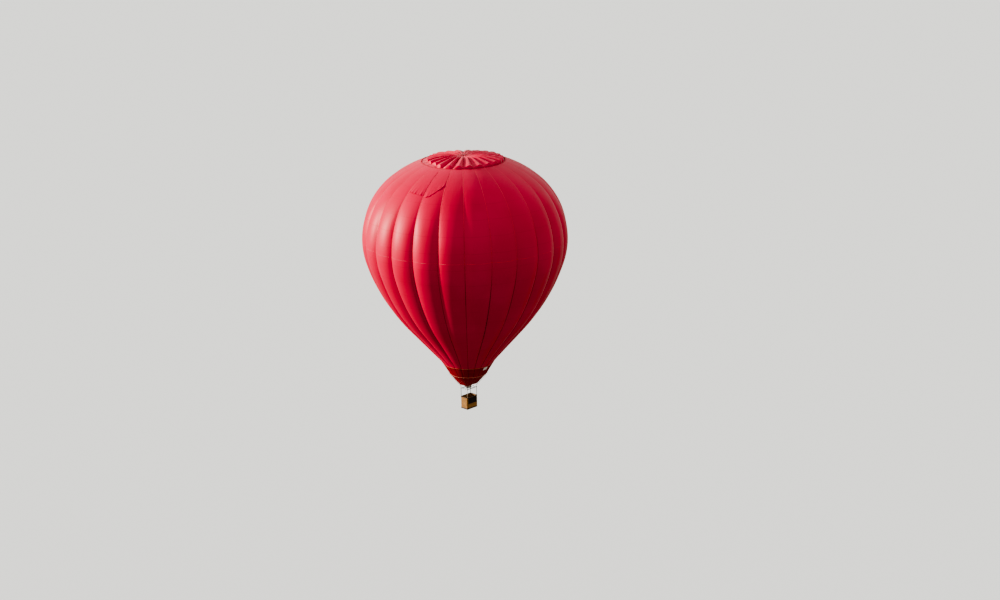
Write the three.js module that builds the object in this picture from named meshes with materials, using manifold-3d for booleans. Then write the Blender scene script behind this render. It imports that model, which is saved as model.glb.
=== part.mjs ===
// A hot air balloon: a gored envelope with a parachute valve in its crown, a heat resistant
// band and skirt at its mouth, flying wires, a twin burner in gimbals on a load frame,
// and a wicker basket with its fuel cylinders.
// Millimetres, +Z up. The origin is on the balloon's axis at the envelope's centre of lift.
// The basket's long side runs along X. Depths are measured down from the crown ring.

import * as THREE from 'three';
import { mergeVertices } from 'three/addons/utils/BufferGeometryUtils.js';
import Module from 'manifold-3d';

const wasm = await Module();
wasm.setup();

const rad = THREE.MathUtils.degToRad;

// Levels, as depths below the crown ring
const LIFT_CENTRE_DEPTH = 8600;
const BAND_TOP_DEPTH = 19200;
const MOUTH_DEPTH = 20200;
const SKIRT_BOTTOM_DEPTH = 21250;
const FRAME_DEPTH = 21750;
const BASKET_BOTTOM_DEPTH = 23700;

// Clearance between seated faces, and how near two corners lie to count as one
const SEAT = 0.3;
const SAME_CORNER = 1e-3;
const SAME_RADIUS = 1;

// Envelope fabric
const GORES = 24;
const POINTS_PER_GORE = 3;
const ROUND = GORES * POINTS_PER_GORE;
const VALVE_ROUND = GORES * 2;
const FABRIC = 10;
const HOLE_RADIUS = 3700;
const HOLE_DEPTH = 460;
const HOLE_SLOPE = 19;
const SEAM_PULL_CROWN = 0.010;
const SEAM_PULL_BODY = 0.027;
const SEAM_PULL_MOUTH = 0.005;
const PULL_GROWS = { from: 1500, to: 7500 };
const PULL_FADES_FROM = 18500;
const LEVEL_CUT_SLOPE = 60;

// The meridian from the hole in the crown to the mouth, as arcs and straight runs.
// bend: radius of the arc, negative where it turns back outwards; 0 for a straight run
// slope: angle from the horizontal at the run's lower end, in degrees
// length: length of a straight run
// steps: facets along the run
const UPPER_RUNS = [
  { bend: 10500, slope: 34.3, steps: 2 },
  { bend: 6950, slope: 90, steps: 4 },
];
const LOWER_RUNS = [
  { bend: 6950, slope: 107.7, steps: 2 },
  { bend: 16900, slope: 131.5, steps: 3 },
  { bend: 0, length: 4150, steps: 1 },
  { bend: -3000, slope: 121, steps: 1 },
];

// Crown ring, its tapes and the parachute valve
const RING_RADIUS = 150;
const RING_BAR = 10;
const RING_CHAMFER = 4;
const TAPE_WIDTH = 40;
const TAPE_THICK = 6;
const TAPE_OVERLAP = 55;
const TAPE_CURVE = 1.6;
const TAPE_LIFT = 1;
const TAPE_STATIONS = [1400, 2700];
const EDGE_TAPE_WIDTH = 70;
const VALVE_DROP_BELOW_TAPE = 23.5;
const VALVE_RADIUS = 4100;

// The parachute valve's puffed panel, from its centre to its edge
// radius: distance from the axis; puff: height of the puff between two tapes
const VALVE_PUFFS = [
  { radius: 400, puff: 0 },
  { radius: 1400, puff: 115 },
  { radius: 2700, puff: 185 },
  { radius: 3560, puff: 190 },
];
const VALVE_LIP = [
  { radius: 3615, depth: 480, puff: 80 },
  { radius: 3645, depth: 498, puff: 0 },
  { radius: VALVE_RADIUS, depth: 690, puff: 0 },
];

// Turning vent flaps, each over one gore
// seam: the gore's first seam, in degrees; top: depth of its upper edge
// foot, nextFoot: depth of its lower edge at the first seam and at the next one
const VENT_FLAPS = [
  { name: 'turning_vent_flap_1', seam: 180, top: 700, foot: 2120, nextFoot: 2200 },
  { name: 'turning_vent_flap_2', seam: 195, top: 700, foot: 2260, nextFoot: 1560 },
];
const FLAP_REACH = 7400;
const FLAP_THICK = 8;
const FLAP_LIFT = 0.6;
const FLAP_MARGIN = 0.9;
const FLAP_ROWS = 4;

// Mouth ring and skirt
const MOUTH_RING_WIDE = 30;
const MOUTH_RING_TALL = 40;
const SKIRT_ROUND = 48;
const SKIRT_STEPS = 3;
const SKIRT_HALF_X = 850;
const SKIRT_HALF_Y = 620;
const SKIRT_ROUND_POWER = 2;
const SKIRT_SQUARE_POWER = 4;

// Load frame, karabiners and flying wires
const CORNER_X = 600;
const CORNER_Y = 400;
const FRAME_TUBE = 19;
const CORNER_BLOCK = 60;
const CORNER_BLOCK_TALL = 44;
const LUG_THICK = 10;
const LUG_WIDE = 44;
const LUG_EYE_ABOVE = 50;
const LUG_ABOVE_EYE = 12;
const EYE = 20;
const HOOK_WIDE = 64;
const HOOK_TALL = 110;
const HOOK_BAR = 10;
const HOOK_CORNER = 16;
const HOOK_INNER_CORNER = 6;
const HOOK_CORNER_STEPS = 2;
const WIRE = 8;
const WIRE_SIDES = 4;
const WIRE_PLATE_BELOW_EYE = 10;
const WIRE_PLATE_ABOVE_EYE = 16;
const WIRE_END_ABOVE_EYE = 8;
const WIRE_TAB = 24;
const WIRE_TAB_THICK = 12;
const WIRE_TAB_HANG = 20;
const WIRES_PER_CORNER = 6;
const WIRE_SPREAD = 6;

// Gimbals and burner
const GIMBAL_HALF_X = 500;
const GIMBAL_HALF_Y = 310;
const GIMBAL_TUBE = 14;
const GIMBAL_CORNER = GIMBAL_TUBE * 2;
const GIMBAL_BEARING = 36;
const PIN = 10;
const PIN_BORE = 11;
const PIN_SIDES = 12;
const PIN_END_INSET = 12;
const AXLE_PAST_GIMBAL = 14;
const BEARING = 44;
const BEARING_OVERLAP = 6;
const BORE_REACH = 60;
const BLOCK_LONG = 480;
const BLOCK_WIDE = 120;
const BLOCK_TALL = 60;
const CAN_OFFSET = 170;
const CAN_RADIUS = 140;
const CAN_TALL = 320;
const CAN_WALL = 6;
const CAN_THROAT = 45;
const CAN_SIDES = 20;
const COIL_RADIUS = 95;
const COIL_TUBE = 9;
const COIL_TURNS = 4;
const COIL_BASE = 40;
const COIL_PITCH = 56;
const COIL_STEPS_PER_TURN = 10;
const COIL_SIDES = 6;
const COIL_LEG_OVERLAP = 4;
const VALVE_BODY_RADIUS = 20;
const VALVE_BODY_TALL = 70;
const LEVER_LONG = 150;
const LEVER_WIDE = 12;
const LEVER_THICK = 8;
const LEVER_ABOVE_FOOT = 18;

// Basket
const BASKET_LONG = 1300;
const BASKET_WIDE = 900;
const BASKET_TALL = 1180;
const BASKET_CORNER = 110;
const CORNER_STEPS = 4;
const WICKER = 40;
const FLOOR_THICK = 25;
const SKID_TALL = 45;
const SKID_WIDE = 60;
const SKID_LONG = 1220;
const SKID_PLACES = [-330, 0, 330];
const RIM_WIDE = 80;
const RIM_TALL = 60;
const SCUFF_TALL = 110;
const SCUFF_THICK = 8;
const COVER_LONG = 1060;
const COVER_TALL = 560;
const COVER_THICK = 12;
const POLE_RADIUS = 22;
const POLE_SIDES = 10;
const CYLINDER_RADIUS = 140;
const CYLINDER_TALL = 640;
const CYLINDER_GAP = 3;
const CYLINDER_SIDES = 14;

// A fuel cylinder's outline: its foot ring and lower dome, then its shoulder, collar and tap
const CYLINDER_OUTLINE = [
  { radius: 0, z: 40 },
  { radius: 100, z: 40 },
  { radius: 100, z: 0 },
  { radius: 108, z: 0 },
  { radius: 112, z: 34 },
  { radius: CYLINDER_RADIUS, z: 80 },
  { radius: CYLINDER_RADIUS, z: 480 },
  { radius: 105, z: 535 },
  { radius: 92, z: 540 },
  { radius: 92, z: CYLINDER_TALL },
  { radius: 86, z: CYLINDER_TALL },
  { radius: 86, z: 542 },
  { radius: 24, z: 548 },
  { radius: 24, z: 600 },
  { radius: 0, z: 600 },
];
const CYLINDER_CORNERS = [
  { x: -1, y: 1 },
  { x: 1, y: -1 },
];

// Colours and finishes
const FINISHES = {
  fabric: { color: 0xc8102e, roughness: 0.62, metalness: 0 },
  heatCloth: { color: 0x6e0a16, roughness: 0.8, metalness: 0 },
  webbing: { color: 0xd2505c, roughness: 0.8, metalness: 0 },
  steel: { color: 0xb9bcc0, roughness: 0.3, metalness: 1 },
  wire: { color: 0xc9c4ba, roughness: 0.45, metalness: 0.6 },
  wicker: { color: 0xb47a3c, roughness: 0.85, metalness: 0 },
  leather: { color: 0x3b2418, roughness: 0.6, metalness: 0 },
  cover: { color: 0x17120f, roughness: 0.9, metalness: 0 },
  timber: { color: 0x9a7443, roughness: 0.75, metalness: 0 },
  cylinder: { color: 0x8f9296, roughness: 0.4, metalness: 0.7 },
};

const level = (depth) => LIFT_CENTRE_DEPTH - depth;

// A closed geometry with its shared corners merged and its faces turned outwards
function closed(geometry) {
  const bare = geometry.clone();
  bare.deleteAttribute('normal');
  bare.deleteAttribute('uv');
  const merged = mergeVertices(bare, SAME_CORNER);
  const place = merged.attributes.position;
  const source = merged.index.array;
  const corner = [new THREE.Vector3(), new THREE.Vector3(), new THREE.Vector3()];
  const kept = [];
  let volume = 0;
  for (let i = 0; i < source.length; i += 3) {
    const [a, b, c] = [source[i], source[i + 1], source[i + 2]];
    if (a === b || b === c || c === a) continue;
    kept.push(a, b, c);
    corner[0].fromBufferAttribute(place, a);
    corner[1].fromBufferAttribute(place, b);
    corner[2].fromBufferAttribute(place, c);
    volume += corner[0].dot(corner[1].cross(corner[2]));
  }
  if (volume < 0) {
    for (let i = 0; i < kept.length; i += 3) {
      [kept[i + 1], kept[i + 2]] = [kept[i + 2], kept[i + 1]];
    }
  }
  merged.setIndex(kept);
  return merged;
}

function toSolid(geometry) {
  const ready = closed(geometry);
  return new wasm.Manifold(new wasm.Mesh({
    numProp: 3,
    vertProperties: new Float32Array(ready.attributes.position.array),
    triVerts: new Uint32Array(ready.index.array),
  }));
}

function toGeometry(solid) {
  const mesh = solid.getMesh();
  const geometry = new THREE.BufferGeometry();
  geometry.setAttribute('position', new THREE.BufferAttribute(mesh.vertProperties, 3));
  geometry.setIndex(new THREE.BufferAttribute(mesh.triVerts, 1));
  return geometry;
}

function join(geometries) {
  const solids = geometries.map(toSolid);
  return toGeometry(solids.reduce((sum, next) => sum.add(next)));
}

function cut(geometry, cutters) {
  const tools = cutters.map(toSolid);
  return toGeometry(tools.reduce((rest, next) => rest.subtract(next), toSolid(geometry)));
}

function box(sizeX, sizeY, sizeZ, x = 0, y = 0, z = 0) {
  return new THREE.BoxGeometry(sizeX, sizeY, sizeZ).translate(x, y, z);
}

// A straight bar of round or square section between two points
function rod(from, to, radius, sides = 8) {
  const along = new THREE.Vector3().subVectors(to, from);
  const geometry = new THREE.CylinderGeometry(radius, radius, along.length(), sides);
  const turn = new THREE.Quaternion().setFromUnitVectors(
    new THREE.Vector3(0, 1, 0),
    along.clone().normalize(),
  );
  const middle = new THREE.Vector3().addVectors(from, to).multiplyScalar(0.5);
  return geometry.applyQuaternion(turn).translate(middle.x, middle.y, middle.z);
}

// A profile of { radius, z } points turned about the Z axis
function turned(profile, segments, start = 0) {
  const points = profile.map((p) => new THREE.Vector2(p.radius, p.z));
  const lathe = new THREE.LatheGeometry(points, segments, start, Math.PI * 2);
  return lathe.rotateX(Math.PI / 2);
}

// A thin shell turned about the Z axis. Its second skin runs back along the profile, so its
// facets are split the other way there, and the two skins stay parallel once they are bulged.
function turnedShell(firstSkin, secondSkin, segments) {
  const profile = [...firstSkin, ...secondSkin];
  if (profile[0].radius > 0) profile.push(profile[0]);
  const lathe = turned(profile, segments);
  const rows = profile.length;
  for (let i = 0; i < segments; i += 1) {
    for (let j = firstSkin.length; j < rows - 1; j += 1) {
      const a = j + i * rows;
      const [b, c, d] = [a + rows, a + rows + 1, a + 1];
      lathe.index.array.set([a, b, c, a, c, d], 6 * (i * (rows - 1) + j));
    }
  }
  return lathe;
}

function ringProfile(radius, halfWide, z, halfTall, chamfer = 0) {
  const wide = [halfWide, halfWide - chamfer];
  const tall = [halfTall, halfTall - chamfer];
  const corners = [
    [wide[1], -tall[0]], [wide[0], -tall[1]], [wide[0], tall[1]], [wide[1], tall[0]],
    [-wide[1], tall[0]], [-wide[0], tall[1]], [-wide[0], -tall[1]], [-wide[1], -tall[0]],
  ];
  const profile = corners.map(([across, up]) => ({ radius: radius + across, z: z + up }));
  return [...profile, profile[0]];
}

function roundedRectangle(halfX, halfY, corner) {
  const shape = new THREE.Shape();
  shape.moveTo(halfX, -halfY + corner);
  shape.lineTo(halfX, halfY - corner);
  shape.absarc(halfX - corner, halfY - corner, corner, 0, Math.PI / 2);
  shape.lineTo(-halfX + corner, halfY);
  shape.absarc(-halfX + corner, halfY - corner, corner, Math.PI / 2, Math.PI);
  shape.lineTo(-halfX, -halfY + corner);
  shape.absarc(-halfX + corner, -halfY + corner, corner, Math.PI, Math.PI * 1.5);
  shape.lineTo(halfX - corner, -halfY);
  shape.absarc(halfX - corner, -halfY + corner, corner, Math.PI * 1.5, Math.PI * 2);
  return shape;
}

// A wall that follows a rounded rectangle, from one height to another
function rectangularRing(halfX, halfY, corner, thick, lowZ, highZ) {
  const shape = roundedRectangle(halfX, halfY, corner);
  const inside = roundedRectangle(halfX - thick, halfY - thick, corner - thick);
  shape.holes.push(new THREE.Path(inside.getPoints(CORNER_STEPS).reverse()));
  const settings = { depth: highZ - lowZ, bevelEnabled: false, curveSegments: CORNER_STEPS };
  return new THREE.ExtrudeGeometry(shape, settings).translate(0, 0, lowZ);
}

// How far a seam is pulled in from the top of the gores' bulge, as a share of the radius
function seamPull(depth) {
  const body = THREE.MathUtils.smoothstep(depth, PULL_GROWS.from, PULL_GROWS.to);
  const mouth = THREE.MathUtils.smoothstep(depth, PULL_FADES_FROM, MOUTH_DEPTH);
  const pull = THREE.MathUtils.lerp(SEAM_PULL_CROWN, SEAM_PULL_BODY, body);
  return THREE.MathUtils.lerp(pull, SEAM_PULL_MOUTH, mouth);
}

// Where an angle lies in its gore: 0 at the middle, 1 at either seam
function seamShare(angle) {
  const gore = Math.PI * 2 / GORES;
  const within = ((angle % gore) + gore) % gore;
  return Math.abs(within / gore - 0.5) * 2;
}

// Bulges a round shell into gores
function gored(geometry) {
  const place = geometry.attributes.position;
  for (let i = 0; i < place.count; i += 1) {
    const [x, y, z] = [place.getX(i), place.getY(i), place.getZ(i)];
    const share = seamShare(Math.atan2(y, x));
    const scale = 1 - seamPull(LIFT_CENTRE_DEPTH - z) * share * share;
    place.setXY(i, x * scale, y * scale);
  }
  return geometry;
}

// Walks down the meridian and returns its points as { radius, depth, slope }
function meridian(start, runs) {
  const points = [start];
  for (const run of runs) {
    const from = points[points.length - 1];
    for (let step = 1; step <= run.steps; step += 1) {
      const share = step / run.steps;
      if (run.bend === 0) {
        const along = run.length * share;
        points.push({
          radius: from.radius + along * Math.cos(rad(from.slope)),
          depth: from.depth + along * Math.sin(rad(from.slope)),
          slope: from.slope,
        });
      } else {
        const slope = THREE.MathUtils.lerp(from.slope, run.slope, share);
        points.push({
          radius: from.radius + run.bend * (Math.sin(rad(slope)) - Math.sin(rad(from.slope))),
          depth: from.depth + run.bend * (Math.cos(rad(from.slope)) - Math.cos(rad(slope))),
          slope,
        });
      }
    }
  }
  return points;
}

function straightTo(points, depth) {
  const last = points[points.length - 1];
  const radius = last.radius + (depth - last.depth) / Math.tan(rad(last.slope));
  return { radius, depth, slope: last.slope };
}

// A shell of the given thickness whose outer skin follows the meridian points, lifted by lift.
// Its steep edges are cut level, so that two shells meet edge to edge.
function shell(points, thick, lift = 0) {
  const ends = [points[0], points[points.length - 1]];
  const skin = (offset) => points.map((p) => {
    const slope = rad(p.slope);
    const cutLevel = ends.includes(p) && p.slope > LEVEL_CUT_SLOPE;
    const across = cutLevel ? offset / Math.sin(slope) : offset * Math.sin(slope);
    const up = cutLevel ? 0 : offset * Math.cos(slope);
    return { radius: p.radius + across, z: level(p.depth) + up };
  });
  return turnedShell(skin(lift + thick), skin(lift).reverse(), ROUND);
}

const hole = { radius: HOLE_RADIUS, depth: HOLE_DEPTH, slope: HOLE_SLOPE };
const upperPoints = meridian(hole, UPPER_RUNS);
const tapeLine = upperPoints[upperPoints.length - 1];
const lowerRuns = meridian(tapeLine, LOWER_RUNS);
const bandTop = straightTo(lowerRuns, BAND_TOP_DEPTH);
const mouth = straightTo(lowerRuns, MOUTH_DEPTH);

const balloon = new THREE.Group();

function add(name, geometry, finish, parent = balloon) {
  const mesh = new THREE.Mesh(closed(geometry), new THREE.MeshStandardMaterial(FINISHES[finish]));
  mesh.name = name;
  parent.add(mesh);
  return mesh;
}

function lowered(point, drop) {
  return { ...point, depth: point.depth + drop };
}

function buildEnvelope() {
  add('envelope_upper', gored(shell(upperPoints, -FABRIC)), 'fabric');
  const lower = [lowered(tapeLine, SEAT), ...lowerRuns.slice(1), lowered(bandTop, -SEAT)];
  add('envelope_lower', gored(shell(lower, -FABRIC)), 'fabric');
  add('heat_band', gored(shell([bandTop, lowered(mouth, -SEAT)], -FABRIC)), 'heatCloth');
}

// Each flap lies on one gore, with the envelope's own facets under it. It is cut from a shell
// by a wedge whose underside slants from one seam to the next.
function buildVentFlaps() {
  const blanket = toSolid(gored(shell(upperPoints.slice(0, FLAP_ROWS), FLAP_THICK, FLAP_LIFT)));
  for (const flap of VENT_FLAPS) {
    const edges = [
      { angle: rad(flap.seam + FLAP_MARGIN), foot: flap.foot },
      { angle: rad(flap.seam + 360 / GORES - FLAP_MARGIN), foot: flap.nextFoot },
    ];
    const ends = edges.map((edge) => new THREE.Vector2(FLAP_REACH, 0).rotateAround(
      new THREE.Vector2(),
      edge.angle,
    ));
    const outline = new THREE.Shape([new THREE.Vector2(), ...ends]);
    const wedge = new THREE.ExtrudeGeometry(outline, { depth: 1, bevelEnabled: false });
    const place = wedge.attributes.position;
    for (let i = 0; i < place.count; i += 1) {
      const spot = new THREE.Vector2(place.getX(i), place.getY(i));
      const [first, second] = ends.map((end) => end.distanceTo(spot));
      const share = first / (first + second);
      const foot = THREE.MathUtils.lerp(flap.foot, flap.nextFoot, share);
      place.setZ(i, level(place.getZ(i) > 0 ? flap.top : foot));
    }
    add(flap.name, toGeometry(blanket.intersect(toSolid(wedge))), 'fabric');
  }
}

// Height of the middle of a crown tape, inside the hole
function tapeDepth(radius) {
  const edge = seamAtHole();
  return edge.depth * (radius / edge.radius) ** TAPE_CURVE;
}

// The seam where it meets the hole, with the tape lying on it
function seamAtHole() {
  const radius = hole.radius * (1 - seamPull(hole.depth));
  return { radius, depth: hole.depth - TAPE_LIFT - TAPE_THICK / 2 };
}

// A flat tape along the X axis through { radius, depth } points of its middle line
function tapeStrip(points) {
  const half = TAPE_THICK / 2;
  const top = points.map((p) => new THREE.Vector2(p.radius, level(p.depth) + half));
  const under = points.map((p) => new THREE.Vector2(p.radius, level(p.depth) - half));
  const outline = new THREE.Shape([...top, ...under.reverse()]);
  const settings = { depth: TAPE_WIDTH, bevelEnabled: false };
  const strip = new THREE.ExtrudeGeometry(outline, settings);
  return strip.translate(0, 0, -TAPE_WIDTH / 2).rotateX(Math.PI / 2);
}

function buildCrown() {
  const edge = seamAtHole();
  const next = upperPoints[1];
  const nextRadius = next.radius * (1 - seamPull(next.depth));
  const slope = (next.depth - hole.depth) / (nextRadius - edge.radius);
  const inner = RING_RADIUS + RING_BAR + SEAT;
  const line = [
    ...[inner, ...TAPE_STATIONS].map((radius) => ({ radius, depth: tapeDepth(radius) })),
    edge,
    { radius: edge.radius + TAPE_OVERLAP, depth: edge.depth + TAPE_OVERLAP * slope },
  ];
  const strips = [];
  for (let i = 0; i < GORES; i += 1) {
    strips.push(tapeStrip(line).rotateZ(Math.PI * 2 * i / GORES));
  }
  const edgeSlope = Math.atan(slope);
  const outerEdge = {
    radius: hole.radius + EDGE_TAPE_WIDTH * Math.cos(edgeSlope),
    depth: hole.depth + EDGE_TAPE_WIDTH * Math.sin(edgeSlope),
  };
  const edgeRing = [
    { radius: hole.radius, z: level(hole.depth) + TAPE_LIFT },
    { radius: outerEdge.radius, z: level(outerEdge.depth) + TAPE_LIFT },
    { radius: outerEdge.radius, z: level(outerEdge.depth) + TAPE_LIFT + TAPE_THICK },
    { radius: hole.radius, z: level(hole.depth) + TAPE_LIFT + TAPE_THICK },
  ];
  const band = gored(turned([...edgeRing, edgeRing[0]], ROUND));
  add('crown_tapes', join([band, ...strips]), 'webbing');

  const bar = ringProfile(RING_RADIUS, RING_BAR, level(tapeDepth(inner)), RING_BAR, RING_CHAMFER);
  const face = RING_RADIUS + RING_BAR;
  const apothem = face / (face * Math.cos(Math.PI / GORES));
  const ring = turned(bar, GORES, Math.PI / GORES).scale(apothem, apothem, 1);
  add('crown_ring', ring, 'steel');
}

function buildValve() {
  const body = VALVE_PUFFS.map((p) => ({
    ...p,
    depth: tapeDepth(p.radius) + VALVE_DROP_BELOW_TAPE,
  }));
  const centre = { radius: 0, depth: body[0].depth, puff: 0 };
  const rows = [centre, ...body, ...VALVE_LIP];
  const top = rows.map((p) => ({ radius: p.radius, z: level(p.depth) }));
  const under = rows.map((p) => ({ radius: p.radius, z: level(p.depth) - FABRIC })).reverse();
  const disc = turnedShell(top, under, VALVE_ROUND);
  const place = disc.attributes.position;
  for (let i = 0; i < place.count; i += 1) {
    const [x, y] = [place.getX(i), place.getY(i)];
    const radius = Math.hypot(x, y);
    const row = rows.find((p) => Math.abs(p.radius - radius) < SAME_RADIUS);
    const share = seamShare(Math.atan2(y, x));
    place.setZ(i, place.getZ(i) + row.puff * (1 - share * share));
  }
  add('parachute_valve', disc, 'fabric');
}

// Radius of the skirt at an angle, between the round mouth and the squarish foot
function skirtRadius(angle, down) {
  const halfX = THREE.MathUtils.lerp(mouth.radius, SKIRT_HALF_X, down);
  const halfY = THREE.MathUtils.lerp(mouth.radius, SKIRT_HALF_Y, down);
  const power = THREE.MathUtils.lerp(SKIRT_ROUND_POWER, SKIRT_SQUARE_POWER, down * down);
  const across = Math.abs(Math.cos(angle) / halfX) ** power;
  const along = Math.abs(Math.sin(angle) / halfY) ** power;
  return (across + along) ** (-1 / power);
}

function buildMouth() {
  const ringTop = MOUTH_DEPTH;
  const ringFoot = MOUTH_DEPTH + MOUTH_RING_TALL;
  const middle = mouth.radius;
  const ringLevel = level((ringTop + ringFoot) / 2);
  const profile = ringProfile(middle, MOUTH_RING_WIDE / 2, ringLevel, MOUTH_RING_TALL / 2);
  const spread = 1 / Math.cos(Math.PI / GORES);
  const ring = turned(profile, GORES, Math.PI / GORES).scale(spread, spread, 1);
  add('mouth_ring', ring, 'webbing');

  const top = ringFoot + SEAT;
  const rows = [];
  for (let i = 0; i <= SKIRT_STEPS; i += 1) {
    rows.push(level(THREE.MathUtils.lerp(top, SKIRT_BOTTOM_DEPTH, i / SKIRT_STEPS)));
  }
  const outside = rows.map((z) => ({ radius: mouth.radius, z }));
  const inside = rows.map((z) => ({ radius: mouth.radius - FABRIC, z })).reverse();
  const tube = turnedShell(outside, inside, SKIRT_ROUND);
  const place = tube.attributes.position;
  for (let i = 0; i < place.count; i += 1) {
    const [x, y, z] = [place.getX(i), place.getY(i), place.getZ(i)];
    const angle = Math.atan2(y, x);
    const down = (level(top) - z) / (level(top) - level(SKIRT_BOTTOM_DEPTH));
    const radius = Math.hypot(x, y);
    const scale = (skirtRadius(angle, down) + radius - mouth.radius) / radius;
    place.setXY(i, x * scale, y * scale);
  }
  add('skirt', tube, 'heatCloth');
}

// The four corners, in the order of the quarters of the mouth: sign of x, sign of y
const CORNERS = [
  { x: 1, y: 1 },
  { x: -1, y: 1 },
  { x: -1, y: -1 },
  { x: 1, y: -1 },
];
const frameZ = level(FRAME_DEPTH);
const lugEyeZ = frameZ + LUG_EYE_ABOVE;
const hookLowBarZ = lugEyeZ + EYE / 2 - SEAT - HOOK_BAR / 2;
const hookHighBarZ = hookLowBarZ + HOOK_TALL - HOOK_BAR;
const wireEyeZ = hookHighBarZ + EYE / 2 - HOOK_BAR / 2 - SEAT;

function eyePlate(x, y, eyeZ, lowZ, highZ) {
  const plate = box(LUG_THICK, LUG_WIDE, highZ - lowZ, x, y, (highZ + lowZ) / 2);
  return cut(plate, [box(LUG_THICK * 3, EYE, EYE, x, y, eyeZ)]);
}

function buildFlyingWires() {
  const ringFace = mouth.radius + MOUTH_RING_WIDE / 2;
  const tabTop = level(MOUTH_DEPTH);
  const tabFoot = level(MOUTH_DEPTH + MOUTH_RING_TALL + WIRE_TAB_HANG);
  const tabRadius = ringFace + SEAT + WIRE_TAB_THICK / 2;
  CORNERS.forEach((corner, quarter) => {
    const x = corner.x * CORNER_X;
    const y = corner.y * CORNER_Y;
    const endZ = wireEyeZ + EYE / 2 + WIRE_END_ABOVE_EYE;
    const plateLow = wireEyeZ - EYE / 2 - WIRE_PLATE_BELOW_EYE;
    const plateHigh = wireEyeZ + EYE / 2 + WIRE_PLATE_ABOVE_EYE;
    const pieces = [eyePlate(x, y, wireEyeZ, plateLow, plateHigh)];
    for (let i = 0; i < WIRES_PER_CORNER; i += 1) {
      const angle = Math.PI * 2 * (quarter * WIRES_PER_CORNER + i) / GORES;
      const tabMiddle = (tabTop + tabFoot) / 2;
      const tab = box(WIRE_TAB_THICK, WIRE_TAB, tabTop - tabFoot, tabRadius, 0, tabMiddle);
      pieces.push(tab.rotateZ(angle));
      const start = new THREE.Vector3(tabRadius, 0, tabFoot + WIRE).applyAxisAngle(
        new THREE.Vector3(0, 0, 1),
        angle,
      );
      const across = (i - (WIRES_PER_CORNER - 1) / 2) * WIRE_SPREAD;
      const end = new THREE.Vector3(x, y + across * corner.x * corner.y * -1, endZ);
      pieces.push(rod(start, end, WIRE / 2, WIRE_SIDES));
    }
    add(`flying_wires_${quarter + 1}`, join(pieces), 'wire');
  });
}

function buildKarabiners() {
  CORNERS.forEach((corner, i) => {
    const loop = roundedRectangle(HOOK_WIDE / 2, HOOK_TALL / 2, HOOK_CORNER);
    const hollow = roundedRectangle(
      HOOK_WIDE / 2 - HOOK_BAR,
      HOOK_TALL / 2 - HOOK_BAR,
      HOOK_INNER_CORNER,
    );
    loop.holes.push(new THREE.Path(hollow.getPoints(HOOK_CORNER_STEPS).reverse()));
    const settings = {
      depth: HOOK_BAR,
      bevelEnabled: false,
      curveSegments: HOOK_CORNER_STEPS,
    };
    const link = new THREE.ExtrudeGeometry(loop, settings);
    link.translate(0, 0, -HOOK_BAR / 2).rotateX(Math.PI / 2);
    const middle = (hookLowBarZ + hookHighBarZ) / 2;
    link.translate(corner.x * CORNER_X, corner.y * CORNER_Y, middle);
    add(`karabiner_${i + 1}`, link, 'steel');
  });
}

function buildFrame() {
  const at = (x, y) => new THREE.Vector3(x, y, frameZ);
  const pieces = [];
  for (const side of [-1, 1]) {
    pieces.push(rod(at(-CORNER_X, side * CORNER_Y), at(CORNER_X, side * CORNER_Y), FRAME_TUBE));
    pieces.push(rod(at(side * CORNER_X, -CORNER_Y), at(side * CORNER_X, CORNER_Y), FRAME_TUBE));
  }
  for (const corner of CORNERS) {
    const x = corner.x * CORNER_X;
    const y = corner.y * CORNER_Y;
    pieces.push(box(CORNER_BLOCK, CORNER_BLOCK, CORNER_BLOCK_TALL, x, y, frameZ));
    pieces.push(eyePlate(x, y, lugEyeZ, frameZ, lugEyeZ + EYE / 2 + LUG_ABOVE_EYE));
  }
  const bearingX = CORNER_X - BEARING / 2 + BEARING_OVERLAP;
  for (const side of [-1, 1]) {
    pieces.push(box(BEARING, BEARING, BEARING, side * bearingX, 0, frameZ));
  }
  const bores = [-1, 1].map((side) => rod(
    at(side * (bearingX - BEARING), 0),
    at(side * CORNER_X, 0),
    PIN_BORE,
    PIN_SIDES,
  ));
  add('burner_frame', cut(join(pieces), bores), 'steel');
}

function buildGimbal() {
  const at = (x, y) => new THREE.Vector3(x, y, frameZ);
  const pieces = [];
  for (const side of [-1, 1]) {
    const x = side * GIMBAL_HALF_X;
    const y = side * GIMBAL_HALF_Y;
    pieces.push(rod(at(-GIMBAL_HALF_X, y), at(GIMBAL_HALF_X, y), GIMBAL_TUBE));
    pieces.push(rod(at(x, -GIMBAL_HALF_Y), at(x, GIMBAL_HALF_Y), GIMBAL_TUBE));
    pieces.push(box(BEARING, GIMBAL_BEARING, BEARING, 0, y, frameZ));
    pieces.push(rod(at(x, 0), at(side * (CORNER_X - PIN_END_INSET), 0), PIN, PIN_SIDES));
    for (const end of [-1, 1]) {
      const corner = box(GIMBAL_CORNER, GIMBAL_CORNER, GIMBAL_CORNER, x, end * y, frameZ);
      pieces.push(corner);
    }
  }
  const bores = [-1, 1].map((side) => rod(
    at(0, side * (GIMBAL_HALF_Y - BORE_REACH)),
    at(0, side * (GIMBAL_HALF_Y + BORE_REACH)),
    PIN_BORE,
    PIN_SIDES,
  ));
  add('gimbal_ring', cut(join(pieces), bores), 'steel');
}

class HelixCurve extends THREE.Curve {
  constructor(radius, baseZ, pitch, turns) {
    super();
    Object.assign(this, { radius, baseZ, pitch, turns });
  }

  getPoint(share, target = new THREE.Vector3()) {
    const angle = share * this.turns * Math.PI * 2;
    return target.set(
      this.radius * Math.cos(angle),
      this.radius * Math.sin(angle),
      this.baseZ + this.pitch * this.turns * share,
    );
  }
}

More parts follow.
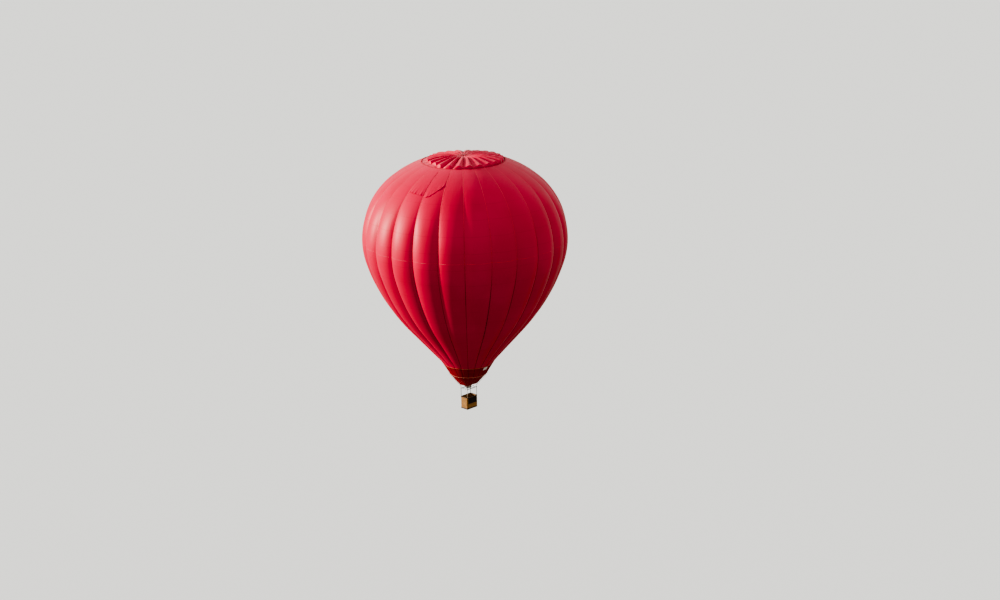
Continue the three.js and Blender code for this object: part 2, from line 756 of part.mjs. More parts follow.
function buildBurner() {
  const at = (x, y, z = 0) => new THREE.Vector3(x, y, frameZ + z);
  const blockTop = BLOCK_TALL / 2;
  const pinReach = GIMBAL_HALF_Y + AXLE_PAST_GIMBAL;
  const block = box(BLOCK_LONG, BLOCK_WIDE, BLOCK_TALL, 0, 0, frameZ);
  const axle = rod(at(0, -pinReach), at(0, pinReach), PIN, PIN_SIDES);
  add('burner_block', join([block, axle]), 'steel');

  [-1, 1].forEach((side, i) => {
    const x = side * CAN_OFFSET;
    const low = frameZ + blockTop + SEAT;
    const cup = [
      { radius: CAN_THROAT, z: low },
      { radius: CAN_RADIUS, z: low },
      { radius: CAN_RADIUS, z: low + CAN_TALL },
      { radius: CAN_RADIUS - CAN_WALL, z: low + CAN_TALL },
      { radius: CAN_RADIUS - CAN_WALL, z: low + CAN_WALL },
      { radius: CAN_THROAT, z: low + CAN_WALL },
      { radius: CAN_THROAT, z: low },
    ];
    add(`burner_can_${i + 1}`, turned(cup, CAN_SIDES).translate(x, 0, 0), 'steel');

    const helix = new HelixCurve(COIL_RADIUS, low + COIL_BASE, COIL_PITCH, COIL_TURNS);
    const circle = new THREE.Path().absarc(0, 0, COIL_TUBE, 0, Math.PI * 2);
    const section = new THREE.Shape(circle.getPoints(COIL_SIDES / 2));
    const settings = {
      steps: COIL_TURNS * COIL_STEPS_PER_TURN,
      extrudePath: helix,
      bevelEnabled: false,
    };
    const coil = new THREE.ExtrudeGeometry(section, settings);
    const foot = new THREE.Vector3(COIL_RADIUS, 0, low + CAN_WALL + SEAT);
    const head = foot.clone().setZ(low + COIL_BASE + COIL_LEG_OVERLAP);
    const leg = rod(foot, head, COIL_TUBE, COIL_SIDES);
    add(`burner_coil_${i + 1}`, join([coil, leg]).translate(x, 0, 0), 'steel');

    const stemTop = -blockTop - SEAT;
    const stemFoot = stemTop - VALVE_BODY_TALL;
    const stem = rod(at(x, 0, stemFoot), at(x, 0, stemTop), VALVE_BODY_RADIUS, PIN_SIDES);
    const leverZ = frameZ + stemFoot + LEVER_ABOVE_FOOT;
    const lever = box(LEVER_WIDE, LEVER_LONG, LEVER_THICK, x, LEVER_LONG / 2, leverZ);
    add(`blast_valve_${i + 1}`, join([stem, lever]), 'steel');
  });
}

function buildBasket() {
  const bottom = level(BASKET_BOTTOM_DEPTH);
  const floorLow = bottom + SKID_TALL;
  const wallLow = floorLow + FLOOR_THICK + SEAT;
  const rimTop = bottom + BASKET_TALL;
  const rimLow = rimTop - RIM_TALL;
  const halfX = BASKET_LONG / 2;
  const halfY = BASKET_WIDE / 2;

  SKID_PLACES.forEach((y, i) => {
    const tall = SKID_TALL - SEAT;
    const skid = box(SKID_LONG, SKID_WIDE, tall, 0, y, bottom + tall / 2);
    add(`skid_${i + 1}`, skid, 'timber');
  });

  const floorShape = roundedRectangle(halfX, halfY, BASKET_CORNER);
  const floor = new THREE.ExtrudeGeometry(floorShape, {
    depth: FLOOR_THICK,
    bevelEnabled: false,
    curveSegments: CORNER_STEPS,
  });
  add('basket_floor', floor.translate(0, 0, floorLow), 'timber');

  const walls = rectangularRing(halfX, halfY, BASKET_CORNER, WICKER, wallLow, rimLow - SEAT);
  add('basket_walls', walls, 'wicker');

  const overhang = (RIM_WIDE - WICKER) / 2;
  const rim = rectangularRing(
    halfX + overhang,
    halfY + overhang,
    BASKET_CORNER + overhang,
    RIM_WIDE,
    rimLow,
    rimTop,
  );
  add('basket_rim', rim, 'leather');

  const scuff = rectangularRing(
    halfX + SCUFF_THICK + SEAT,
    halfY + SCUFF_THICK + SEAT,
    BASKET_CORNER + SCUFF_THICK + SEAT,
    SCUFF_THICK,
    floorLow,
    floorLow + SCUFF_TALL,
  );
  add('scuff_band', scuff, 'leather');

  const coverTop = rimLow - SEAT;
  const coverY = -halfY - SEAT - COVER_THICK / 2;
  const cover = box(COVER_LONG, COVER_THICK, COVER_TALL, 0, coverY, coverTop - COVER_TALL / 2);
  add('side_cover', cover, 'cover');

  const poleLow = rimTop + SEAT;
  const poleHigh = frameZ - CORNER_BLOCK_TALL / 2 - SEAT;
  CORNERS.forEach((corner, i) => {
    const foot = new THREE.Vector3(corner.x * CORNER_X, corner.y * CORNER_Y, poleLow);
    const head = foot.clone().setZ(poleHigh);
    add(`upright_${i + 1}`, rod(foot, head, POLE_RADIUS, POLE_SIDES), 'leather');
  });

  const reachX = halfX - WICKER - CYLINDER_RADIUS - CYLINDER_GAP;
  const reachY = halfY - WICKER - CYLINDER_RADIUS - CYLINDER_GAP;
  CYLINDER_CORNERS.forEach((corner, i) => {
    const cylinder = turned(CYLINDER_OUTLINE, CYLINDER_SIDES);
    cylinder.translate(corner.x * reachX, corner.y * reachY, wallLow);
    add(`fuel_cylinder_${i + 1}`, cylinder, 'cylinder');
  });
}

buildEnvelope();
buildVentFlaps();
buildCrown();
buildValve();
buildMouth();
buildFlyingWires();
buildKarabiners();
buildFrame();
buildGimbal();
buildBurner();
buildBasket();

export default balloon;
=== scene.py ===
# %% [markdown]
# # A hot air balloon
# The exact parts come first, as a fixed frame in metres. This notebook dresses them: each cell
# makes one piece of cloth, webbing, metal, wicker or timber, and puts it where its part stands.

from bisect import bisect_right
from math import atan2, ceil, copysign, cos, hypot, pi, radians, sin, tan, tau

import bmesh
import bpy
from mathutils import Matrix, Vector, noise


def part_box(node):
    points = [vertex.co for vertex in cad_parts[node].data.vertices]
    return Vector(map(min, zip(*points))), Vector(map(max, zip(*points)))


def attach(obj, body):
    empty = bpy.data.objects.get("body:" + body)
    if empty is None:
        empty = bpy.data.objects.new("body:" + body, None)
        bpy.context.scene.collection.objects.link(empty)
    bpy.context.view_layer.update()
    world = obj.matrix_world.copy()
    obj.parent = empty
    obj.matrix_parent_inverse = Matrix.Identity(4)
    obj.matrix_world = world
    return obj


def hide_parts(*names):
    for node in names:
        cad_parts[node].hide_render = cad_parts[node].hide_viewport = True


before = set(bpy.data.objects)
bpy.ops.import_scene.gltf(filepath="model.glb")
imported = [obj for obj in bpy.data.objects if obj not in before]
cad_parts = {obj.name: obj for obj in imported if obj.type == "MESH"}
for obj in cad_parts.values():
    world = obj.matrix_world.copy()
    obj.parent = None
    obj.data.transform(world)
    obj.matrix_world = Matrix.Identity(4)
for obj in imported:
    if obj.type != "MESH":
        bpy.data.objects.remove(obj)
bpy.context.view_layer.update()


def add_to_scene(name, data):
    made = bpy.data.objects.new(name, data)
    bpy.context.scene.collection.objects.link(made)
    return made



# %% [markdown]
# ## The camera
# The camera stands where the balloon was seen from: a long way off and a little above it. It is
# placed from the crown: so many metres behind it along the line of sight, then moved aside and
# down until the crown falls on its own spot in the picture. A long lens keeps the shape true.

# %% The camera
LIFT_CENTRE = 8.6
CROWN = Vector((0, 0, LIFT_CENTRE))
PICTURE = (1000, 600)
FOCAL_PIXELS = 1800
VIEW_TURN, VIEW_DIP, VIEW_ROLL = radians(-45.5), radians(16.9), radians(1.05)
CROWN_SPOT = (463.2, 155.0)
CROWN_DISTANCE = 158.8

camera = add_to_scene("camera", bpy.data.cameras.new("camera"))
bpy.context.scene.camera = camera
camera.data.sensor_width = 36
camera.data.lens = 36 * FOCAL_PIXELS / PICTURE[0]
camera.data.clip_start, camera.data.clip_end = 1, 3000

level_right = Vector((cos(VIEW_TURN), sin(VIEW_TURN), 0))
ahead = Vector((-sin(VIEW_TURN) * cos(VIEW_DIP), cos(VIEW_TURN) * cos(VIEW_DIP), -sin(VIEW_DIP)))
level_up = level_right.cross(ahead)
right = level_right * cos(VIEW_ROLL) - level_up * sin(VIEW_ROLL)
up = level_right * sin(VIEW_ROLL) + level_up * cos(VIEW_ROLL)
metres_per_pixel = CROWN_DISTANCE / FOCAL_PIXELS
aside = (CROWN_SPOT[0] - PICTURE[0] / 2) * metres_per_pixel
above = (PICTURE[1] / 2 - CROWN_SPOT[1]) * metres_per_pixel
eye = CROWN - right * aside - up * above - ahead * CROWN_DISTANCE
camera.matrix_world = Matrix.Translation(eye) @ Matrix((right, up, -ahead)).transposed().to_4x4()
print("lens", round(camera.data.lens, 1), "mm, eye at", [round(x, 1) for x in eye])

# %% [markdown]
# ## Light and floor
# Cloth shows its shape by the way light falls off over each bulge, so one soft key light comes
# from the left, low and a little behind. A pale dome fills the shaded side: bright and cool from
# above, dim and warm from below. The floor lies far down, so that the balloon hangs free in the
# air. The picture goes through a film-like curve: bright red turns pale and shaded red stays deep.

# %% Light and floor
KEY_FROM = radians(129)
KEY_HEIGHT = radians(12)
FLOOR_DEPTH = 55
FLOOR_REACH = 1600


def add_key_light():
    light = bpy.data.lights.new("key", "SUN")
    light.energy = 5.8
    light.angle = radians(3)
    light.color = (1.0, 0.95, 0.86)
    lamp = add_to_scene("key", light)
    towards = Vector((
        cos(KEY_FROM) * cos(KEY_HEIGHT),
        sin(KEY_FROM) * cos(KEY_HEIGHT),
        sin(KEY_HEIGHT),
    ))
    lamp.rotation_euler = towards.to_track_quat("Z", "Y").to_euler()


def add_dome():
    world = bpy.data.worlds.new("dome")
    world.use_nodes = True
    bpy.context.scene.world = world
    nodes, links = world.node_tree.nodes, world.node_tree.links
    place = nodes.new("ShaderNodeTexCoord")
    height = nodes.new("ShaderNodeSeparateXYZ")
    fall = nodes.new("ShaderNodeMapRange")
    fall.inputs["From Min"].default_value = -0.8
    fall.inputs["From Max"].default_value = 0.8
    fall.inputs["To Min"].default_value = 0.21
    fall.inputs["To Max"].default_value = 0.87
    links.new(place.outputs["Generated"], height.inputs[0])
    links.new(height.outputs["Z"], fall.inputs["Value"])
    tint = nodes.new("ShaderNodeMix")
    tint.data_type = "RGBA"
    tint.inputs[6].default_value = (1.0, 0.84, 0.56, 1)
    tint.inputs[7].default_value = (0.86, 0.92, 1.0, 1)
    links.new(fall.outputs["Result"], tint.inputs["Factor"])
    background = nodes["Background"]
    links.new(tint.outputs[2], background.inputs["Color"])
    links.new(fall.outputs["Result"], background.inputs["Strength"])


def add_floor():
    bm = bmesh.new()
    bmesh.ops.create_grid(bm, x_segments=1, y_segments=1, size=FLOOR_REACH)
    bmesh.ops.translate(bm, verts=bm.verts, vec=(0, 0, -FLOOR_DEPTH))
    mesh = bpy.data.meshes.new("floor")
    bm.to_mesh(mesh)
    bm.free()
    floor = add_to_scene("floor", mesh)
    material = bpy.data.materials.new("floor")
    material.use_nodes = True
    shader = material.node_tree.nodes["Principled BSDF"]
    # a floor this near the eye's line would glare, so it has no gloss
    shader.inputs["Base Color"].default_value = (0.80, 0.80, 0.78, 1)
    shader.inputs["Roughness"].default_value = 0.9
    shader.inputs["Specular IOR Level"].default_value = 0.0
    mesh.materials.append(material)
    floor.visible_diffuse = False
    floor.visible_glossy = False


add_key_light()
add_dome()
add_floor()
picture = bpy.context.scene.view_settings
picture.view_transform = "AgX"
picture.look = "AgX - High Contrast"
print("key light from", round(KEY_FROM, 2), "and the floor at", -FLOOR_DEPTH, "m")

# %% [markdown]
# ## How a finish is built
# A finish here is one Principled shader with a few patterns in front of it. The small class
# below keeps the node work short: each method adds one node, joins it up, and hands back its
# output. Plain numbers stay on the shader's own sockets.


# %% A finish
class Finish:
    def __init__(self, name, roughness, metallic=0.0, specular=0.5):
        self.material = bpy.data.materials.new(name)
        self.material.use_nodes = True
        self.nodes = self.material.node_tree.nodes
        self.links = self.material.node_tree.links
        self.shader = self.nodes["Principled BSDF"]
        self.shader.inputs["Roughness"].default_value = roughness
        self.shader.inputs["Metallic"].default_value = metallic
        self.shader.inputs["Specular IOR Level"].default_value = specular

    def node(self, kind, inputs=None, **settings):
        made = self.nodes.new(kind)
        for name, value in settings.items():
            setattr(made, name, value)
        for name, value in (inputs or {}).items():
            if isinstance(value, bpy.types.NodeSocket):
                self.links.new(value, made.inputs[name])
            else:
                made.inputs[name].default_value = value
        return made

    def place(self):
        return self.node("ShaderNodeTexCoord").outputs["Object"]

    def cloth_map(self):
        return self.node("ShaderNodeUVMap", uv_map="cloth").outputs["UV"]

    def part(self, vector, axis):
        return self.node("ShaderNodeSeparateXYZ", {"Vector": vector}).outputs[axis]

    def stretched(self, vector, scale):
        sizes = {"Vector": vector, "Scale": scale}
        return self.node("ShaderNodeMapping", sizes).outputs["Vector"]

    def sum(self, operation, first, second=0.0):
        return self.node("ShaderNodeMath", {0: first, 1: second}, operation=operation).outputs[0]

    def from_middle(self, value):
        return self.sum("ABSOLUTE", self.sum("SUBTRACT", self.sum("FRACT", value), 0.5))

    def noise(self, vector, scale, detail=4.0):
        inputs = {"Vector": vector, "Scale": scale, "Detail": detail, "Roughness": 0.55}
        return self.node("ShaderNodeTexNoise", inputs).outputs["Fac"]

    def waves(self, vector, scale, direction, distortion=0.0):
        inputs = {"Vector": vector, "Scale": scale, "Distortion": distortion}
        made = self.node("ShaderNodeTexWave", inputs, bands_direction=direction)
        return made.outputs["Fac"]

    def fade(self, value, start, end, low=0.0, high=1.0):
        inputs = {"Value": value, "From Min": start, "From Max": end, "To Min": low, "To Max": high}
        return self.node("ShaderNodeMapRange", inputs, interpolation_type="SMOOTHSTEP").outputs[0]

    def blend(self, share, first, second):
        made = self.node("ShaderNodeMix", {"Factor": share}, data_type="RGBA")
        for slot, value in ((6, first), (7, second)):
            if isinstance(value, bpy.types.NodeSocket):
                self.links.new(value, made.inputs[slot])
            else:
                made.inputs[slot].default_value = (*value, 1)
        return made.outputs[2]

    def bump(self, height, distance, strength, under=None):
        inputs = {"Height": height, "Distance": distance, "Strength": strength}
        if under is not None:
            inputs["Normal"] = under
        return self.node("ShaderNodeBump", inputs).outputs["Normal"]

    def wear(self, colour=None, roughness=None, normal=None):
        for name, socket in (("Base Color", colour), ("Roughness", roughness), ("Normal", normal)):
            if socket is not None:
                self.links.new(socket, self.shader.inputs[name])
        return self.material


print("finishes are ready to be mixed")

# %% [markdown]
# ## Envelope cloth
# The envelope is ripstop cloth with a smooth coating, so it is half matt and half glossy. The
# sun has turned the upper cloth chalky, which is a sheen that fades out towards the mouth. The
# cloth's map holds the gore number and share across in U, and metres down the gore in V. From
# these the finish draws the felled seams, the level panel seams and a fine ripstop grid.

# %% Envelope cloth
CRIMSON = (0.56, 0.0015, 0.042)
CRIMSON_SEAM = (0.42, 0.001, 0.024)
CRIMSON_FADED = (0.62, 0.003, 0.055)
CHALK_HEIGHTS = (-6.5, 4.0)
CHALK = (0.03, 0.38)
PANEL_DEEP = 1.45


def envelope_cloth(name, felled_wide, panel_strength):
    finish = Finish(name, roughness=0.5, specular=0.42)
    finish.shader.inputs["Specular Tint"].default_value = (1.0, 0.64, 0.54, 1)
    finish.shader.inputs["Sheen Roughness"].default_value = 0.4
    finish.shader.inputs["Sheen Tint"].default_value = (1.0, 0.6, 0.58, 1)
    chalky = finish.fade(finish.part(finish.place(), "Z"), *CHALK_HEIGHTS, *CHALK)
    finish.links.new(chalky, finish.shader.inputs["Sheen Weight"])
    cloth = finish.cloth_map()
    across = finish.part(cloth, "X")
    down = finish.part(cloth, "Y")
    from_middle = finish.from_middle(across)
    felled = finish.fade(from_middle, 0.5 - felled_wide, 0.494)
    panel = finish.from_middle(finish.sum("DIVIDE", down, PANEL_DEEP))
    joined = finish.fade(panel, 0.483, 0.492)
    tone = finish.noise(finish.place(), 0.22, 3.0)
    cloudy = finish.blend(finish.fade(tone, 0.35, 0.7), CRIMSON, CRIMSON_FADED)
    seams = finish.sum("MAXIMUM", felled, finish.sum("MULTIPLY", joined, panel_strength))
    colour = finish.blend(seams, cloudy, CRIMSON_SEAM)
    folds = finish.noise(finish.stretched(cloth, (5.0, 0.55, 1.0)), 1.6, 3.0)
    near_seam = finish.fade(from_middle, 0.2, 0.5, 0.25, 1.0)
    soft = finish.bump(finish.sum("MULTIPLY", folds, near_seam), 0.05, 0.35)
    grid = finish.stretched(cloth, (300.0, 125.0, 1.0))
    rip = finish.sum("MAXIMUM", finish.waves(grid, 1.0, "X"), finish.waves(grid, 1.0, "Y"))
    fine = finish.bump(rip, 0.0004, 0.25, soft)
    ridge = finish.bump(finish.sum("MAXIMUM", felled, joined), 0.004, 0.6, fine)
    return finish.wear(colour=colour, normal=ridge)


ENVELOPE_CLOTH = envelope_cloth("envelope_cloth", 0.018, 0.35)
VALVE_CLOTH = envelope_cloth("valve_cloth", 0.030, 0.0)
print("panels are", PANEL_DEEP, "m deep")

# %% [markdown]
# ## Heat cloth, webbing and cover cloth
# Near the flame the cloth is a thicker, duller weave. The webbing is a flat woven tape, most of
# it paler than the cloth. The side cover is near black canvas. All of them show their threads as
# crossed waves at the scale of the real weave.

# %% Woven finishes
WEAVES = [
    # name, thread colour, shadow colour, threads per metre, roughness
    ("heat_cloth", (0.34, 0.001, 0.010), (0.23, 0.0006, 0.006), 420, 0.8),
    ("webbing", (0.74, 0.13, 0.16), (0.50, 0.05, 0.075), 900, 0.7),
    ("edge_webbing", (0.52, 0.20, 0.13), (0.34, 0.09, 0.06), 900, 0.7),
    ("crimson_webbing", (0.60, 0.05, 0.07), (0.38, 0.01, 0.025), 900, 0.65),
    ("pale_cloth", (0.78, 0.74, 0.72), (0.62, 0.55, 0.54), 700, 0.75),
    ("cover_cloth", (0.036, 0.026, 0.023), (0.016, 0.011, 0.010), 800, 0.85),
]


def woven(name, thread, shadow, count, roughness):
    finish = Finish(name, roughness=roughness, specular=0.3)
    place = finish.place()
    warp = finish.waves(place, count / 20, "DIAGONAL")
    weft = finish.waves(place, count / 20, "Z")
    cross = finish.sum("MULTIPLY", warp, weft)
    patch = finish.noise(place, 1.7, 5.0)
    worn = finish.blend(finish.fade(patch, 0.3, 0.75), shadow, thread)
    colour = finish.blend(finish.fade(cross, 0.0, 0.6, 0.0, 0.35), worn, thread)
    creases = finish.bump(finish.noise(place, 9.0, 4.0), 0.006, 0.5)
    return finish.wear(colour=colour, normal=finish.bump(cross, 0.0005, 0.5, creases))


CLOTHS = {row[0]: woven(*row) for row in WEAVES}
print("woven finishes:", ", ".join(CLOTHS))

# %% [markdown]
# ## Metals
# The load frame is dark steel tube with a brushed skin, so the roughness runs in fine streaks.
# The burner's cans and coils have been heated and cooled many times: straw and blue tints lie
# over them. The wires are dull and weathered, so hardly any metal shows in their finish.

# %% Metals
METALS = [
    # name, colour, tint, roughness, streaks per metre, bump
    ("steel", (0.20, 0.20, 0.205), (0.13, 0.13, 0.14), 0.48, 160, 0.0002),
    ("hot_steel", (0.50, 0.40, 0.30), (0.16, 0.17, 0.26), 0.42, 14, 0.0006),
    ("brass", (0.66, 0.46, 0.18), (0.42, 0.28, 0.11), 0.36, 120, 0.0002),
    ("cylinder_steel", (0.36, 0.37, 0.39), (0.22, 0.23, 0.25), 0.45, 60, 0.0004),
    ("wire", (0.34, 0.31, 0.25), (0.24, 0.22, 0.18), 0.6, 90, 0.0004),
]


def brushed(name, colour, tint, roughness, streaks, depth):
    finish = Finish(name, roughness=roughness, metallic=1.0)
    place = finish.place()
    fine = finish.noise(finish.stretched(place, (streaks, streaks, streaks / 12)), 1.0, 4.0)
    patch = finish.noise(place, 6.0, 4.0)
    shade = finish.blend(finish.fade(patch, 0.35, 0.7), colour, tint)
    shine = finish.fade(fine, 0.2, 0.8, roughness - 0.08, roughness + 0.16)
    return finish.wear(colour=shade, roughness=shine, normal=finish.bump(fine, depth, 0.5))


METAL = {row[0]: brushed(*row) for row in METALS}
WEATHERED = 0.3
METAL["wire"].node_tree.nodes["Principled BSDF"].inputs["Metallic"].default_value = WEATHERED
print("metals:", ", ".join(METAL))

# %% [markdown]
# ## Willow, hide and timber
# The basket is woven of peeled willow, which goes from straw to tan. Its rim is wrapped in hide,
# and its floor and runners are varnished wood. Streaks along the grain and darker hollows do
# most of the work.


# %% Willow, hide and timber
WILLOW_HOLLOW = (0.12, 0.045, 0.010)
WILLOW_TAN = (0.34, 0.16, 0.036)
WILLOW_STRAW = (0.42, 0.215, 0.055)


def willow():
    finish = Finish("willow", roughness=0.62, specular=0.4)
    place = finish.place()
    streak = finish.noise(finish.stretched(place, (9.0, 9.0, 60.0)), 1.0, 5.0)
    patch = finish.noise(place, 3.2, 4.0)
    rods = finish.blend(finish.fade(streak, 0.3, 0.7), WILLOW_HOLLOW, WILLOW_TAN)
    colour = finish.blend(finish.fade(patch, 0.35, 0.75, 0.0, 0.6), rods, WILLOW_STRAW)
    return finish.wear(colour=colour, normal=finish.bump(streak, 0.0015, 0.7))


def hide(name, dark, worn):
    finish = Finish(name, roughness=0.55, specular=0.4)
    place = finish.place()
    grain = finish.node("ShaderNodeTexVoronoi", {"Vector": place, "Scale": 260.0}).outputs[0]
    rubbed = finish.noise(place, 5.0, 5.0)
    colour = finish.blend(finish.fade(rubbed, 0.45, 0.72), dark, worn)
    shine = finish.fade(rubbed, 0.35, 0.7, 0.62, 0.42)
    return finish.wear(colour=colour, roughness=shine, normal=finish.bump(grain, 0.0006, 0.5))


def varnished(name, light, dark, along):
    finish = Finish(name, roughness=0.5, specular=0.45)
    grained = finish.stretched(finish.place(), along)
    ring = finish.waves(grained, 1.0, "Y", 6.0)
    colour = finish.blend(finish.fade(ring, 0.1, 0.9), light, dark)
    return finish.wear(colour=colour, normal=finish.bump(ring, 0.0008, 0.4))


WILLOW = willow()
HIDE = hide("hide", (0.045, 0.022, 0.012), (0.13, 0.065, 0.035))
# painted light: the pale hide is a lit copy of the dark hide, for a sleeve and two corner strips in
# the sun
PAINTED_LIT_HIDE = hide("painted_lit_hide", (0.46, 0.36, 0.26), (0.66, 0.56, 0.43))
TIMBER = varnished("timber", (0.52, 0.34, 0.17), (0.30, 0.17, 0.08), (2.0, 22.0, 22.0))
print("willow, two hides and timber are mixed")

# %% [markdown]
# ## Meshes from a grid
# Most pieces here are cloth or tube, and both are a flat grid before they are bent. So one
# helper makes a grid with Blender's own operator and lets a rule say where each point goes. A
# seam closes when the two edges that meet are merged. Open cloth is then turned to face away
# from a point on the axis. A last helper finishes any mesh: it smooths the faces, keeps sharp
# lines sharp, gives it its finish and its body.


# %% Making pieces
def bent_grid(columns, rows, rule):
    bm = bmesh.new()
    bmesh.ops.create_grid(bm, x_segments=columns, y_segments=rows, size=1)
    for vert in bm.verts:
        vert.co = rule((vert.co.x + 1) / 2, (vert.co.y + 1) / 2)
    bmesh.ops.remove_doubles(bm, verts=bm.verts, dist=1e-5)
    return bm


def turn_outwards(bm):
    bmesh.ops.recalc_face_normals(bm, faces=bm.faces)
    if bm.calc_volume(signed=True) < 0:
        bmesh.ops.reverse_faces(bm, faces=bm.faces)


def face_from(bm, height):
    axis = Vector((0, 0, height))
    outward = sum((f.calc_center_median() - axis).dot(f.normal) * f.calc_area() for f in bm.faces)
    if outward < 0:
        bmesh.ops.reverse_faces(bm, faces=bm.faces)


def dress(made, body, replaces, slot):
    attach(made, body)
    if replaces:
        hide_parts(*replaces)
    return made


def piece_from(bm, name, material, sharp, body="balloon", thick=0.0, replaces=(), slot=None):
    bm.normal_update()
    for face in bm.faces:
        face.smooth = True
    for edge in bm.edges:
        rim = len(edge.link_faces) < 2
        if rim or edge.calc_face_angle(0) > radians(sharp):
            edge.smooth = False
    mesh = bpy.data.meshes.new(name)
    bm.to_mesh(mesh)
    bm.free()
    mesh.materials.append(material)
    made = add_to_scene(name, mesh)
    if thick:
        wall = made.modifiers.new("wall", "SOLIDIFY")
        wall.thickness = thick
        wall.offset = -1
    print(name, len(mesh.polygons), "faces")
    return dress(made, body, replaces, slot)


# %% [markdown]
# ## The line of a gore
# Seen from the side, the envelope follows one line from the hole in the crown to the mouth: two
# arcs down to the widest part, two more below it, a straight run, and a slight turn outwards.
# Walking that line in small steps gives a table that turns metres along the cloth into a radius
# and a depth.

# %% The line of a gore
GORES = 24
GORE = tau / GORES
HOLE = (3.7, 0.46, 19.0)
WIDEST_RUNS = [(10.5, 34.3), (6.95, 90.0)]
LOWER_RUNS = [(6.95, 107.7), (16.9, 131.5), (0, 4.15), (-3.0, 121.0)]
BAND_TOP, MOUTH = 19.2, 20.2
STEP = 0.05


def walk_the_line():
    radius, depth, slope = HOLE
    line = [(0.0, radius, depth, slope)]
    for bend, end in WIDEST_RUNS + LOWER_RUNS:
        reach = end if bend == 0 else abs(bend * radians(end - slope))
        steps = ceil(reach / STEP)
        begin = slope
        for i in range(1, steps + 1):
            if bend:
                slope = begin + (end - begin) * i / steps
            length, radius, depth, _ = line[-1]
            radius += reach / steps * cos(radians(slope))
            depth += reach / steps * sin(radians(slope))
            line.append((length + reach / steps, radius, depth, slope))
    while line[-1][2] < MOUTH:
        length, radius, depth, slope = line[-1]
        ahead_by = min(STEP, (MOUTH - depth) / sin(radians(slope)) + 1e-6)
        radius += ahead_by * cos(radians(slope))
        depth += ahead_by * sin(radians(slope))
        line.append((length + ahead_by, radius, depth, slope))
    return line


LINE = walk_the_line()
LENGTHS = [row[0] for row in LINE]
DEPTHS = [row[2] for row in LINE]


def on_line(value, keys=LENGTHS):
    i = min(max(bisect_right(keys, value), 1), len(keys) - 1)
    share = (value - keys[i - 1]) / (keys[i] - keys[i - 1])
    return [a + (b - a) * share for a, b in zip(LINE[i - 1], LINE[i])]


def length_at(depth):
    return on_line(depth, DEPTHS)[0]


print("the gore is", round(LENGTHS[-1], 2), "m long; mouth radius", round(LINE[-1][1], 3))

# %% [markdown]
# ## The bulge of a gore
# Hot air pushes each gore out between its two seams, so the envelope is a ring of 24 soft ribs.
# The rule below pulls the cloth in towards each seam, less near the crown and the mouth. A gore
# is nearly flat across its middle and creases close to the seam, so the pull grows faster than
# the square of the way across. No two gores are quite alike, so a slow noise changes the bulge
# a little from one to the next.


# %% The bulge of a gore
PULL_AT_TOP, PULL_GROWS, PULL_AT_MOUTH = 0.010, 0.021, 0.006
CREASE = 2.4
UNEVEN = 0.14
RIPPLE = 0.012
COLUMNS_PER_GORE, ROW_HEIGHT = 14, 0.22


def ease(value, start, end):
    share = min(max((value - start) / (end - start), 0), 1)
    return share * share * (3 - 2 * share)


def seam_pull(depth):
    body = PULL_AT_TOP + PULL_GROWS * ease(depth, 1.0, 6.0)
    return body + (PULL_AT_MOUTH - body) * ease(depth, 17.0, MOUTH)


def seam_share(angle):
    return abs((angle / GORE) % 1 - 0.5) * 2


def gore_point(angle, length, lift=0.0):
    _, radius, depth, slope = on_line(length)
    share = seam_share(angle)
    gore = round(angle / GORE - 0.5)
    uneven = 1 + UNEVEN * noise.noise(Vector((gore * 3.7, depth * 0.16, 1.5)))
    pull = seam_pull(depth) * share ** CREASE * uneven
    out = radius * (1 - pull) + lift * sin(radians(slope))
    out += RIPPLE * noise.noise(Vector((gore * 5.1 + share, depth * 0.7, 9.0))) * (1 - share)
    z = LIFT_CENTRE - depth + lift * cos(radians(slope))
    return Vector((out * cos(angle), out * sin(angle), z))


def down_the_gore(co):
    return length_at(LIFT_CENTRE - co.z)


def map_the_cloth(bm, metres_down=down_the_gore):
    layer = bm.loops.layers.uv.new("cloth")
    for face in bm.faces:
        middle = face.calc_center_median()
        centre = atan2(middle.y, middle.x)
        for loop in face.loops:
            co = loop.vert.co
            turn = (atan2(co.y, co.x) - centre + pi) % tau - pi
            loop[layer].uv = ((centre + turn) / GORE + GORES, metres_down(co))


def ring_of_cloth(top, foot):
    rows = ceil((foot - top) / ROW_HEIGHT)
    bm = bent_grid(GORES * COLUMNS_PER_GORE, rows,
                   lambda u, w: gore_point(u * tau, top + (foot - top) * w))
    face_from(bm, bm.verts[:][0].co.z)
    map_the_cloth(bm)
    return bm


# %% [markdown]
# ## The envelope
# The cloth comes in three rings: above the level tape at the widest part, below it, and the
# dark heat cloth next to the mouth. Each is a grid wrapped round, and a Solidify modifier gives
# it a thin inner face.

# %% The envelope
CLOTH_THICK = 0.006
WIDEST = sum(
    abs(bend * radians(end - begin))
    for (bend, end), begin in zip(WIDEST_RUNS, (HOLE[2], WIDEST_RUNS[0][1]))
)
BAND = length_at(BAND_TOP)
FOOT = LENGTHS[-1]
for name, top, foot, material, slot in (
    ("envelope_upper", 0.0, WIDEST, ENVELOPE_CLOTH, "envelope_fabric"),
    ("envelope_lower", WIDEST, BAND, ENVELOPE_CLOTH, "envelope_fabric"),
    ("heat_band", BAND, FOOT, CLOTHS["heat_cloth"], "heat_cloth"),
):
    bm = ring_of_cloth(top, foot)
    piece_from(bm, name + "_cloth", material, sharp=14, thick=CLOTH_THICK,
                             replaces=[name], slot=slot)

# %% [markdown]
# ## Tapes on the envelope
# The load tapes carry the basket: one lies in each seam from the crown down to the mouth. Their
# colour darkens downwards: pale webbing near the top, near black towards the mouth, which is
# painted shade for the deep seam creases that they lie in. A level tape goes round the widest
# part, and a pale tape binds the top edge of the heat cloth. All of them follow the bulge of the
# cloth, a few millimetres proud of it.

# %% Tapes on the envelope
TAPE_WIDE = 0.034


